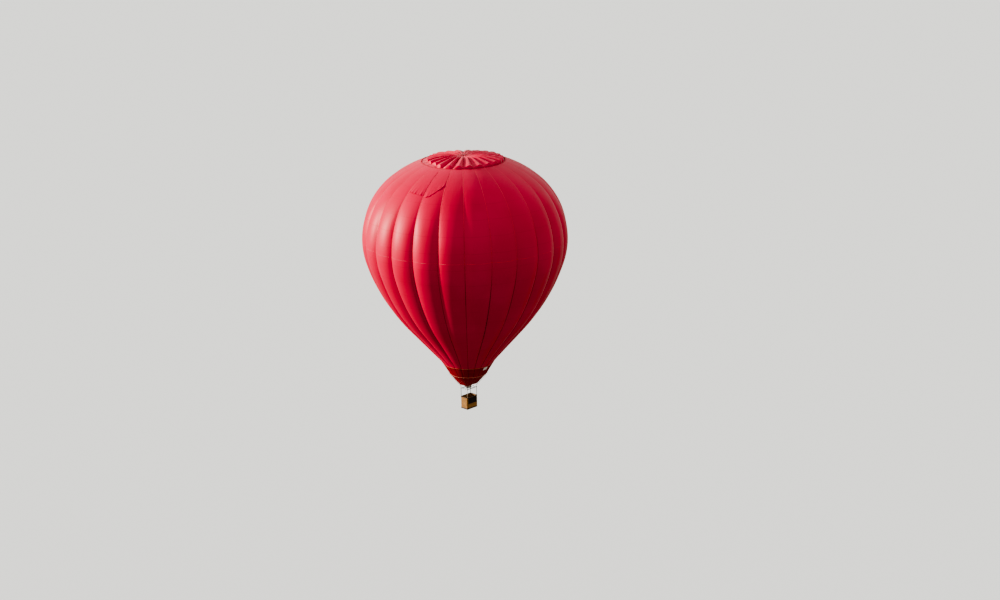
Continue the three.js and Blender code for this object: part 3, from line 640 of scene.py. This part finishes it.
def seam_tape(angle, top, foot):
    def rule(u, w):
        length = top + (foot - top) * w
        radius = on_line(length)[1]
        return gore_point(angle + (u - 0.5) * TAPE_WIDE / radius, length, 0.004)

    return bent_grid(2, ceil((foot - top) / 0.3), rule)


def joined(parts):
    whole = bmesh.new()
    for bm in parts:
        scratch = bpy.data.meshes.new("scratch")
        bm.to_mesh(scratch)
        bm.free()
        whole.from_mesh(scratch)
        bpy.data.meshes.remove(scratch)
    return whole


def level_tape(depth, wide, lift):
    top = length_at(depth)
    bm = bent_grid(GORES * 10, 2, lambda u, w: gore_point(u * tau, top + wide * w, lift))
    face_from(bm, LIFT_CENTRE - depth)
    return bm


def load_webbing():
    finish = Finish("load_webbing", roughness=0.7, specular=0.2)
    place = finish.place()
    # painted shade: the tapes go near black towards the mouth, for the shade in the seam creases
    height = finish.fade(finish.part(place, "Z"), -3.0, 3.5)
    colour = finish.blend(height, (0.09, 0.0005, 0.003), (0.74, 0.08, 0.11))
    patch = finish.fade(finish.noise(place, 3.0), 0.4, 0.8, 0.0, 0.3)
    worn = finish.blend(patch, colour, (0.36, 0.008, 0.022))
    return finish.wear(colour=worn, normal=finish.bump(finish.waves(place, 45, "Z"), 0.0006, 0.5))


tapes = joined([seam_tape(GORE * i, 0.06, FOOT) for i in range(GORES)])
face_from(tapes, 0)
piece_from(tapes, "load_tapes", load_webbing(), sharp=60, thick=0.003, slot="webbing")
piece_from(level_tape(on_line(WIDEST)[2] - 0.01, 0.03, 0.003), "level_tape",
           CLOTHS["webbing"], sharp=14, thick=0.002)
piece_from(level_tape(BAND_TOP - 0.03, 0.06, 0.006), "band_edge_tape",
           CLOTHS["edge_webbing"], sharp=14, thick=0.003)

# %% [markdown]
# ## The crown
# The parachute valve is a disc of cloth that closes the hole from below. Its cloth is cut full,
# so it puffs up between the 24 crown tapes into lobes, each with a steep end near the edge of
# the hole. The wind leans them over to one side. On the slack side they end early, and flat cloth
# shows beyond them. One rule walks out from the middle: over the lobe, down its end, along the
# flat cloth, then under the envelope's edge.


# %% The parachute valve
RING_OUT = 0.1605
TAPE_EDGE = (3.663, 0.456)
VALVE_EDGE = 4.08
VALVE_RIM_DEPTH = 0.69
UNDER_TAPE = 0.016
LOBE_END_WIDE = 0.07
LOBE_SHARE, END_SHARE, FLAT_SHARE = 0.80, 0.89, 0.95
SLACK_SIDE, FULL_SIDE = radians(140), radians(245)
LOBE_END, END_VARIES, END_ROUNDS, END_SLACKENS = 3.54, 0.09, 0.10, 0.36
LOBE_FULL, FULL_VARIES, FULL_SWELLS = 0.235, 0.05, 0.055
FLAT_EDGE, FLAT_BELOW, FLAT_LIFTS = 3.64, 0.10, 0.08
LEAN = 0.42


def tape_depth(radius):
    return TAPE_EDGE[1] * (radius / TAPE_EDGE[0]) ** 1.6


def lobe_seed(angle, layer):
    return noise.noise(Vector((round(angle / GORE - 0.5) % GORES * 7.3, layer, 4.0)))


def valve_point(u, w):
    angle = u * tau
    share = seam_share(angle)
    slack = ease(cos(angle - SLACK_SIDE), 0.62, 0.86)
    end = LOBE_END + END_VARIES * lobe_seed(angle, 1.0) - END_ROUNDS * share ** 4
    end -= END_SLACKENS * slack
    full = LOBE_FULL + FULL_VARIES * lobe_seed(angle, 2.0)
    full += FULL_SWELLS * cos(angle - FULL_SIDE)
    edge = max(FLAT_EDGE, end + 0.08)
    below = FLAT_BELOW - FLAT_LIFTS * slack
    rise = 0.0
    if w < LOBE_SHARE:
        radius = 0.05 + (end - 0.05) * (w / LOBE_SHARE)
        rise = full * ease(radius, 0.2, 1.9) * (1 - share ** 1.7)
        rise += 0.02 * noise.noise(Vector((angle * 9, radius * 3.0, 7.0))) * ease(radius, 0.3, 1)
        rise = max(rise, 0.0)
        depth = tape_depth(radius) + UNDER_TAPE - rise
    elif w < END_SHARE:
        down = (w - LOBE_SHARE) / (END_SHARE - LOBE_SHARE) * pi / 2
        radius = end + LOBE_END_WIDE * sin(down)
        rise = full * (1 - share ** 1.7) * cos(down)
        depth = tape_depth(end) + below - (below - UNDER_TAPE) * cos(down) - rise
    elif w < FLAT_SHARE:
        flat = (w - END_SHARE) / (FLAT_SHARE - END_SHARE)
        start = end + LOBE_END_WIDE
        radius = start + (edge - start) * flat
        depth = tape_depth(radius) + below
    else:
        under = (w - FLAT_SHARE) / (1 - FLAT_SHARE)
        radius = edge + (VALVE_EDGE - edge) * under
        start = tape_depth(edge) + below
        depth = start + (VALVE_RIM_DEPTH - start) * under
    bend = angle + 0.012 * sin(radius * 2.1 + lobe_seed(angle, 3.0) * 9) * (1 - share)
    bend += LEAN * rise / max(radius, 0.6)
    return Vector((radius * cos(bend), radius * sin(bend), LIFT_CENTRE - depth))


bm = bent_grid(GORES * 16, 46, valve_point)
face_from(bm, -20)
map_the_cloth(bm, lambda co: hypot(co.x, co.y))
valve = piece_from(bm, "valve_panel", VALVE_CLOTH, body="parachute_valve", sharp=60,
                   thick=0.004, replaces=["parachute_valve"], slot="envelope_fabric")

# %% [markdown]
# ## The crown tapes
# The load tapes don't stop at the hole: they run on over it, in the creases between the lobes, to
# the steel ring in the middle. They hold the valve down against the hot air. One more tape binds
# the edge of the hole.


# %% Crown tapes
CROWN_TAPE_WIDE = 0.036
EDGE_TAPE_TOP, EDGE_TAPE_WIDE = 0.002, 0.068


def crown_tape(angle):
    aside = Vector((-sin(angle), cos(angle), 0))
    away = Vector((cos(angle), sin(angle), 0))

    def rule(u, w):
        radius = RING_OUT + (TAPE_EDGE[0] + 0.03 - RING_OUT) * w
        z = LIFT_CENTRE - tape_depth(min(radius, TAPE_EDGE[0])) + 0.003
        if radius > TAPE_EDGE[0]:
            z -= (radius - TAPE_EDGE[0]) * tan(radians(HOLE[2]))
        return away * radius + aside * (u - 0.5) * CROWN_TAPE_WIDE + Vector((0, 0, z))

    return bent_grid(2, 40, rule)


def edge_tape(u, w):
    return gore_point(u * tau, EDGE_TAPE_TOP + EDGE_TAPE_WIDE * w, 0.006)


tapes_over_hole = joined([crown_tape(GORE * i) for i in range(GORES)]
                         + [bent_grid(GORES * 10, 2, edge_tape)])
face_from(tapes_over_hole, -20)
piece_from(tapes_over_hole, "crown_webbing", CLOTHS["crimson_webbing"], sharp=60, thick=0.004,
           replaces=["crown_tapes"], slot="webbing")

# %% [markdown]
# ## Vent flaps
# Two gores near the crown carry a loose flap over a slot. Let out, the hot air turns the
# balloon. Each flap lies on its gore, and its free lower edge lifts in small wrinkles that throw
# short shadows.

# %% Vent flaps
FLAPS = [
    # name, first seam in degrees, depth of the foot at the first seam and at the next
    ("turning_vent_flap_1", 180, 2.12, 2.20),
    ("turning_vent_flap_2", 195, 2.28, 1.54),
]
FLAP_TOP = 0.7


def flap_rule(first_seam, foot, next_foot):
    def rule(u, w):
        angle = radians(first_seam + 0.7 + 13.6 * u)
        low = foot + (next_foot - foot) * ease(u, 0.12, 1.0)
        low += 0.05 * noise.noise(Vector((u * 6.0, first_seam, 2.0)))
        length = length_at(FLAP_TOP + (low - FLAP_TOP) * w)
        free = w ** 6 * (1 - abs(2 * u - 1) ** 8)
        flutter = noise.noise(Vector((u * 9.0, first_seam * 1.3, 0.5)))
        lift = 0.010 + free * (0.035 + 0.075 * max(flutter, -0.3))
        lift += 0.012 * w * w * noise.noise(Vector((u * 5.0, w * 7.0, first_seam)))
        return gore_point(angle, length, max(lift, 0.008))

    return rule


flaps = []
for name, first_seam, foot, next_foot in FLAPS:
    bm = bent_grid(40, 36, flap_rule(first_seam, foot, next_foot))
    face_from(bm, 0)
    map_the_cloth(bm)
    made = piece_from(bm, name + "_cloth", ENVELOPE_CLOTH, sharp=60, thick=0.003,
                      replaces=[name], slot="envelope_fabric")
    flaps.append(made)

# %% [markdown]
# ## The mouth
# A doubled tape stiffens the mouth. The skirt hangs from it: round at the top, drawn into four
# corners at its foot, with long folds running down to them. It keeps the wind off the flame. The
# wires run straight from the mouth down to the load frame, so the skirt has to narrow faster
# than they do, and its folds only go inwards.

# %% Mouth tape and skirt
MOUTH_RADIUS = LINE[-1][1]
SKIRT_TOP, SKIRT_FOOT = 20.245, 21.38
SKIRT_HALF = (0.77, 0.52)
FOLD_DEPTH, CORNER_SAG = 0.020, 0.02


def skirt_radius(angle, down):
    half_x = MOUTH_RADIUS + (SKIRT_HALF[0] - MOUTH_RADIUS) * down
    half_y = MOUTH_RADIUS + (SKIRT_HALF[1] - MOUTH_RADIUS) * down
    power = 2 + 2.6 * down ** 2.5
    return (abs(cos(angle) / half_x) ** power + abs(sin(angle) / half_y) ** power) ** (-1 / power)


def skirt_point(u, w):
    angle = u * tau
    fold = noise.noise(Vector((cos(angle) * 3.2, sin(angle) * 3.2, w * 0.8)))
    fold += 0.5 * noise.noise(Vector((cos(angle) * 7, sin(angle) * 7, w * 1.5)))
    folded = 1 + FOLD_DEPTH * min(fold, 0.3) * ease(w, 0.1, 0.8)
    radius = skirt_radius(angle, w) * folded - 0.006
    sag = -CORNER_SAG * cos(4 * angle) * w ** 4
    depth = SKIRT_TOP + (SKIRT_FOOT - 0.03 - SKIRT_TOP) * w + sag
    return Vector((radius * cos(angle), radius * sin(angle), LIFT_CENTRE - depth))


bm = bent_grid(192, 40, skirt_point)
face_from(bm, -12)
skirt = piece_from(bm, "skirt_cloth", CLOTHS["heat_cloth"], sharp=70, thick=0.004,
                   replaces=["skirt"], slot="heat_cloth")


def mouth_tape_point(u, w):
    angle = u * tau
    pucker = 0.004 * sin(angle * GORES * 2)
    radius = MOUTH_RADIUS + 0.012 * sin(w * pi) + pucker
    return Vector((radius * cos(angle), radius * sin(angle), LIFT_CENTRE - MOUTH - 0.042 * w))


bm = bent_grid(GORES * 10, 6, mouth_tape_point)
face_from(bm, LIFT_CENTRE - MOUTH)
piece_from(bm, "mouth_tape", CLOTHS["edge_webbing"], sharp=70, thick=0.008,
           replaces=["mouth_ring"], slot="webbing")


def hem_point(u, w):
    base = skirt_point(u, 1.0)
    out = 1 + (0.006 + 0.006 * sin(w * pi)) / hypot(base.x, base.y)
    return Vector((base.x * out, base.y * out, base.z + 0.035 * (1 - w) - 0.002))


bm = bent_grid(192, 4, hem_point)
face_from(bm, -12.6)
piece_from(bm, "skirt_hem", CLOTHS["heat_cloth"], sharp=70, thick=0.004)

# %% [markdown]
# ## A blank patch
# One pale patch is sewn to the heat cloth just under its top edge. It is plain cloth, bent to
# the gore that it lies on.

# %% A blank patch
PATCH_ANGLE = radians(269)
PATCH = (0.46, 0.36)


def patch_point(u, w):
    length = BAND + 0.05 + PATCH[1] * w
    angle = PATCH_ANGLE + (u - 0.5) * PATCH[0] / on_line(length)[1]
    return gore_point(angle, length, 0.012)


bm = bent_grid(12, 10, patch_point)
face_from(bm, LIFT_CENTRE - 19)
patch = piece_from(bm, "blank_patch", CLOTHS["pale_cloth"], sharp=60, thick=0.003)

# %% [markdown]
# ## The basket
# The basket is willow: thin weavers run level round upright stakes. The wall follows a rounded
# rectangle, so a walk round that outline comes first: it turns metres round the basket into a
# place on its wall.

# %% A walk round the basket
low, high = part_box("basket_walls")
HALF_X, HALF_Y = high.x, high.y
CORNER = 0.11
STRAIGHT_X, STRAIGHT_Y = 2 * (HALF_X - CORNER), 2 * (HALF_Y - CORNER)
ARC = CORNER * pi / 2
ROUND_BASKET = 2 * (STRAIGHT_X + STRAIGHT_Y) + 4 * ARC
SIDES = [
    # start, direction, length
    (Vector((HALF_X, -HALF_Y + CORNER, 0)), Vector((0, 1, 0)), STRAIGHT_Y),
    (Vector((HALF_X - CORNER, HALF_Y, 0)), Vector((-1, 0, 0)), STRAIGHT_X),
    (Vector((-HALF_X, HALF_Y - CORNER, 0)), Vector((0, -1, 0)), STRAIGHT_Y),
    (Vector((-HALF_X + CORNER, -HALF_Y, 0)), Vector((1, 0, 0)), STRAIGHT_X),
]


def round_basket(distance, outward):
    left = distance % ROUND_BASKET
    for start, along, long in SIDES:
        away = Vector((along.y, -along.x, 0))
        if left <= long:
            return start + along * left + away * outward
        left -= long
        if left <= ARC:
            turn = left / CORNER
            centre = start + along * long - away * CORNER
            out = away * cos(turn) + along * sin(turn)
            return centre + out * (CORNER + outward)
        left -= ARC
    return SIDES[0][0] + Vector((1, 0, 0)) * outward


print("round the basket:", round(ROUND_BASKET, 3), "m")

# %% [markdown]
# ## The weave
# Each row of the grid is one weaver. It swings out in front of a stake and back behind the next,
# and the row above does the opposite. A cosine along the wall does that, and half a sine up each
# row rounds the rod.

# %% Woven walls
STAKES = 104
WEAVERS = 40
POINTS_PER_STAKE = 3
WEAVE = 0.007
wall_low, wall_high = low.z, high.z


def weave_point(u, w):
    stake = u * STAKES
    row = w * WEAVERS
    over = cos(pi * stake) * cos(pi * (int(row) % 2))
    round_rod = sin(pi * (row % 1))
    wander = 0.003 * noise.noise(Vector((stake * 0.7, row * 0.9, 3.0)))
    out = -WEAVE + WEAVE * over * round_rod * 0.8 + wander - 0.002
    z = wall_low + (wall_high - wall_low) * w
    spot = round_basket(u * ROUND_BASKET, out)
    return Vector((spot.x, spot.y, z))


bm = bent_grid(STAKES * POINTS_PER_STAKE, WEAVERS * 3, weave_point)
face_from(bm, wall_low)
piece_from(bm, "woven_walls", WILLOW, sharp=80, thick=0.026, replaces=["basket_walls"],
           slot="wicker")


# %% [markdown]
# ## Rim, scuff band and corners
# The rim is foam laced into hide, which puckers at each stitch. The scuff band is a strip of hide
# round the foot, where the basket drags on the ground. Two more strips guard the corners; they are
# pale hide, painted light for the sunlit edge of the corner. A band is a closed section that is
# carried round the basket.


# %% Basket rim, scuff band and corners
STITCH = 0.09


def band_round_basket(columns, section, low_z, high_z, pucker=0.0):
    # a section turns a share of its girth into metres outward and a share of the height
    def rule(u, w):
        out, height = section(w)
        ruck = pucker * abs(sin(pi * u * ROUND_BASKET / STITCH))
        spot = round_basket(u * ROUND_BASKET, out + ruck * copysign(1, out))
        return Vector((spot.x, spot.y, low_z + (high_z - low_z) * height))

    return bent_grid(columns, 16, rule)


rim_low, rim_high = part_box("basket_rim")


def rim_section(w):
    turn = w * tau
    return -0.02 + 0.036 * cos(turn), 0.5 + 0.47 * sin(turn)


bm = band_round_basket(360, rim_section, rim_low.z, rim_high.z, pucker=0.003)
turn_outwards(bm)
rim = piece_from(bm, "padded_rim", HIDE, sharp=80, replaces=["basket_rim"], slot="leather")

scuff_low, scuff_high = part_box("scuff_band")


def scuff_section(w):
    turn = w * tau
    return 0.004 + 0.0042 * copysign(abs(cos(turn)) ** 0.3, cos(turn)), 0.5 + 0.5 * sin(turn)


bm = band_round_basket(240, scuff_section, scuff_low.z, scuff_high.z)
turn_outwards(bm)
piece_from(bm, "scuff_hide", HIDE, sharp=50, replaces=["scuff_band"], slot="leather")


def corner_strip(middle, wide):
    def rule(u, w):
        spot = round_basket(middle + (u - 0.5) * wide, 0.003)
        ease_in = 0.004 * sin(pi * u)
        out = Vector((spot.x, spot.y, 0)).normalized() * ease_in
        z = scuff_high.z + 0.004 + (wall_high - scuff_high.z - 0.008) * w
        return Vector((spot.x, spot.y, z)) + out

    return bent_grid(12, 40, rule)


CORNER_MIDDLES = [STRAIGHT_Y + ARC / 2, ROUND_BASKET - ARC / 2]
strips = joined([corner_strip(middle, ARC * 0.9) for middle in CORNER_MIDDLES])
face_from(strips, wall_low)
# painted light: the corner strips are pale for the sunlit edge of the corner
piece_from(strips, "corner_strips", PAINTED_LIT_HIDE, sharp=60, thick=0.003, slot="leather")

# %% [markdown]
# ## The side cover
# A dark canvas cover hangs over the upper half of one long side. Its top edge is tied under the
# rim, so the cloth hangs in shallow folds that deepen towards the foot.

# %% The side cover
cover_low, cover_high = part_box("side_cover")
COVER = (cover_high.x - cover_low.x, cover_high.z - cover_low.z)


def cover_point(u, w):
    x = cover_low.x + COVER[0] * u
    fold = noise.noise(Vector((x * 5.0, w * 0.8, 2.0))) + 0.5 * noise.noise(Vector((x * 14, w, 5)))
    y = cover_high.y - 0.003 - 0.007 * (0.35 + w) * (1 + fold)
    hem = 0.006 * noise.noise(Vector((x * 4.0, 8.0, 1.0)))
    return Vector((x, max(y, cover_low.y - 0.008), cover_high.z - COVER[1] * w + hem * w))


bm = bent_grid(90, 48, cover_point)
face_from(bm, cover_low.z)
cover = piece_from(bm, "side_canvas", CLOTHS["cover_cloth"], sharp=80, thick=0.003,
                   replaces=["side_cover"], slot="cover_cloth")


# %% [markdown]
# ## Turned metal
# A fuel cylinder and a burner can are both a profile spun about an upright axis. Blender's spin
# makes them in one step. The profile is a list of radii and heights, like a drawing of one half.


# %% Turned pieces
SPIN_STEPS = 48


def foot_of(name):
    low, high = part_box(name)
    return Vector(((low.x + high.x) / 2, (low.y + high.y) / 2, low.z))


def turned(profile, foot):
    bm = bmesh.new()
    verts = [bm.verts.new((max(radius, 1e-5), 0, z)) for radius, z in profile]
    edges = [bm.edges.new(pair) for pair in zip(verts, verts[1:])]
    bmesh.ops.spin(bm, geom=verts + edges, axis=(0, 0, 1), cent=(0, 0, 0), angle=tau,
                   steps=SPIN_STEPS, use_merge=True)
    bmesh.ops.remove_doubles(bm, verts=bm.verts, dist=1e-4)
    turn_outwards(bm)
    bmesh.ops.translate(bm, verts=bm.verts, vec=foot)
    return bm


# %% [markdown]
# ## Fuel cylinders
# Each cylinder is a welded bottle with a foot ring below and a guard collar above, round the
# valve. Two canvas straps hold it to the basket wall.

# %% Fuel cylinders
CYLINDER_PROFILE = [
    (0, 0.045), (0.098, 0.045), (0.098, 0.0), (0.108, 0.0), (0.112, 0.036), (0.128, 0.052),
    (0.137, 0.07), (0.14, 0.095), (0.14, 0.46), (0.137, 0.487), (0.128, 0.51), (0.113, 0.53),
    (0.095, 0.541), (0.092, 0.548), (0.092, 0.632), (0.0905, 0.636), (0.0875, 0.636),
    (0.086, 0.632), (0.086, 0.55), (0.05, 0.556), (0.026, 0.558), (0.024, 0.562),
    (0.024, 0.585), (0.034, 0.588), (0.034, 0.6), (0, 0.6),
]
STRAP_HEIGHTS = (0.19, 0.40)
for number in (1, 2):
    name = "fuel_cylinder_%d" % number
    foot = foot_of(name)
    bm = turned(CYLINDER_PROFILE, foot)
    piece_from(bm, name + "_body", METAL["cylinder_steel"], sharp=32, replaces=[name],
               slot="cylinder_steel")
    straps = []
    for height in STRAP_HEIGHTS:
        z = foot.z + height
        strap = [(0.1402, z - 0.02), (0.1424, z - 0.019), (0.1424, z + 0.019), (0.1402, z + 0.02)]
        straps.append(turned(strap + strap[:1], Vector((foot.x, foot.y, 0))))
    piece_from(joined(straps), "cylinder_straps_%d" % number, CLOTHS["cover_cloth"], sharp=32)

# %% [markdown]
# ## Burner cans
# A burner can is thin sheet, open at the top, with two rolled beads that stiffen it and a rim
# that is folded over.

# %% Burner cans
CAN = (0.14, 0.32, 0.006)
BEADS = (0.09, 0.20)
radius, tall, wall = CAN
side = radius - 0.001
profile = [(0.047, 0.001), (radius - 0.012, 0.001), (radius - 0.003, 0.005), (side, 0.014)]
for bead in BEADS:
    profile += [(side, bead), (side - 0.003, bead + 0.005), (side, bead + 0.01)]
profile += [(side, tall - 0.012), (radius - 0.0005, tall - 0.004)]
profile += [(radius - 0.003, tall - 0.0006), (radius - wall, tall - 0.003)]
profile += [(radius - wall, 0.012), (0.047, 0.007), (0.047, 0.001)]
for number in (1, 2):
    name = "burner_can_%d" % number
    bm = turned(profile, foot_of(name))
    piece_from(bm, name + "_shell", METAL["hot_steel"], body="burner", sharp=30,
               replaces=[name], slot="steel")

# %% [markdown]
# ## Bent tube
# The coils are bent tube and the links are bent bar. A curve with a round bevel is the quickest
# way to make one: it only needs the points of its middle line.


# %% Bent tube
def tube(name, line, radius, material, replaces, body="balloon", closed=False):
    curve = bpy.data.curves.new(name, "CURVE")
    curve.dimensions = "3D"
    curve.bevel_depth = radius
    curve.bevel_resolution = 3
    curve.use_fill_caps = True
    spline = curve.splines.new("POLY")
    spline.points.add(len(line) - 1)
    for point, spot in zip(spline.points, line):
        point.co = (*spot, 1)
    spline.use_cyclic_u = closed
    spline.use_smooth = True
    curve.materials.append(material)
    print(name, "tube through", len(line), "points")
    dress(add_to_scene(name, curve), body, replaces, "steel")


# %% [markdown]
# ## Burner coils
# Liquid gas runs up through a coil inside the can, where the flame boils it. The coil is a helix:
# a turn and a little height for each step.

# %% Burner coils
COIL_RADIUS, COIL_TUBE, COIL_TURNS, COIL_PITCH = 0.095, 0.0085, 4, 0.056
for number in (1, 2):
    name = "burner_coil_%d" % number
    low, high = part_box(name)
    x = (low.x + high.x) / 2
    coil_foot = low.z + 0.034
    line = [Vector((x + COIL_RADIUS, 0, low.z + 0.004))]
    for i in range(COIL_TURNS * 24 + 1):
        turn = tau * i / 24
        z = coil_foot + COIL_PITCH * i / 24
        line.append(Vector((x + COIL_RADIUS * cos(turn), COIL_RADIUS * sin(turn), z)))
    tube(name + "_pipe", line, COIL_TUBE, METAL["hot_steel"], [name], body="burner")

# %% [markdown]
# ## Karabiners
# A karabiner links each set of wires to a corner of the load frame. It is a round bar bent into
# a long loop with rounded corners.


# %% Karabiners
LINK_BAR, LINK_CORNER, CORNER_STEPS = 0.005, 0.012, 6


def rounded_loop(half_wide, half_tall):
    spots = []
    for quarter, (sx, sz) in enumerate(((1, 1), (-1, 1), (-1, -1), (1, -1))):
        for i in range(CORNER_STEPS + 1):
            turn = pi / 2 * (quarter + i / CORNER_STEPS)
            spots.append(((half_wide - LINK_CORNER) * sx + LINK_CORNER * cos(turn),
                          (half_tall - LINK_CORNER) * sz + LINK_CORNER * sin(turn)))
    return spots


for number in range(1, 5):
    name = "karabiner_%d" % number
    low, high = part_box(name)
    middle = (low + high) / 2
    half_wide = (high.x - low.x) / 2 - LINK_BAR
    half_tall = (high.z - low.z) / 2 - LINK_BAR
    line = [middle + Vector((x, 0, z)) for x, z in rounded_loop(half_wide, half_tall)]
    tube(name + "_link", line, LINK_BAR, METAL["steel"], [name], closed=True)

# %% [markdown]
# ## Padded uprights
# Four stiff rods hold the load frame up while the balloon is on the ground. Each one is laced
# into a padded sleeve, which is a tube with soft rings where the lacing pulls it in. The sleeve
# at the near corner is pale hide, painted light for the sun on it; the rest are dark hide.

# %% Padded uprights
PAINTED_LIT_SLEEVE = 3
SLEEVE_RADIUS = 0.0135
LACINGS = 9
for number in range(1, 5):
    name = "upright_%d" % number
    low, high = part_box(name)
    middle = (low + high) / 2
    tall = high.z - low.z

    def sleeve(u, w, middle=middle, low=low, tall=tall):
        laced = 0.0018 * abs(sin(pi * w * LACINGS)) ** 0.5
        end = 0.006 * (ease(w, 0.0, 0.02) + ease(1 - w, 0.0, 0.02)) / 2
        radius = SLEEVE_RADIUS + laced + end
        radius += 0.0012 * noise.noise(Vector((u * 8, w * 14, number)))
        return Vector((middle.x + radius * cos(u * tau), middle.y + radius * sin(u * tau),
                       low.z + tall * w))

    bm = bent_grid(20, 90, sleeve)
    bmesh.ops.holes_fill(bm, edges=bm.edges, sides=0)
    turn_outwards(bm)
    # painted light: the near sleeve is pale for the sun on it, the others are dark hide
    finish = PAINTED_LIT_HIDE if number == PAINTED_LIT_SLEEVE else HIDE
    piece_from(bm, name + "_sleeve", finish, sharp=60, replaces=[name],
                               slot="leather")

# %% [markdown]
# ## Finishes for the parts that keep their shape
# The rest of the metal and timber is already the right shape, so each part only gets its finish.
# A Bevel modifier breaks its sharp edges, as a file does on real metal. The wires are too thin
# to need one.

# %% Kept parts
KEPT = [
    # part, finish, width of the broken edge
    ("burner_frame", METAL["steel"], 0.0025),
    ("gimbal_ring", METAL["steel"], 0.002),
    ("burner_block", METAL["steel"], 0.003),
    ("blast_valve_1", METAL["brass"], 0.0015),
    ("blast_valve_2", METAL["brass"], 0.0015),
    ("crown_ring", METAL["steel"], 0.0015),
    ("basket_floor", TIMBER, 0.002),
]
KEPT += [("skid_%d" % number, TIMBER, 0.005) for number in (1, 2, 3)]
KEPT += [("flying_wires_%d" % number, METAL["wire"], 0) for number in (1, 2, 3, 4)]
for name, finish, broken in KEPT:
    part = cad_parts[name]
    part.material_slots[0].material = finish
    if broken:
        bevel = part.modifiers.new("broken_edges", "BEVEL")
        bevel.width = broken
        bevel.segments = 2
        bevel.limit_method = "ANGLE"
        bevel.angle_limit = radians(50)
print("kept parts:", len(KEPT))

# %% [markdown]
# ## Cloth sizes
# The size that each vent flap was cut to, across its gore and down it, is printed with the area
# of its cloth. Only the two great rings of the envelope aren't: at 58 m round, they are longer
# than a sheet may be.


def cut_area(made):
    return sum(face.area for face in made.data.polygons)


for flap, (name, first_seam, foot, next_foot) in zip(flaps, FLAPS):
    tall = length_at((foot + next_foot) / 2) - length_at(FLAP_TOP)
    wide = on_line(length_at(foot))[1] * GORE
    print(name, "cut", round(wide, 2), "by", round(tall, 2), "area", round(cut_area(flap), 2))
tau * on_line(BAND)[1]
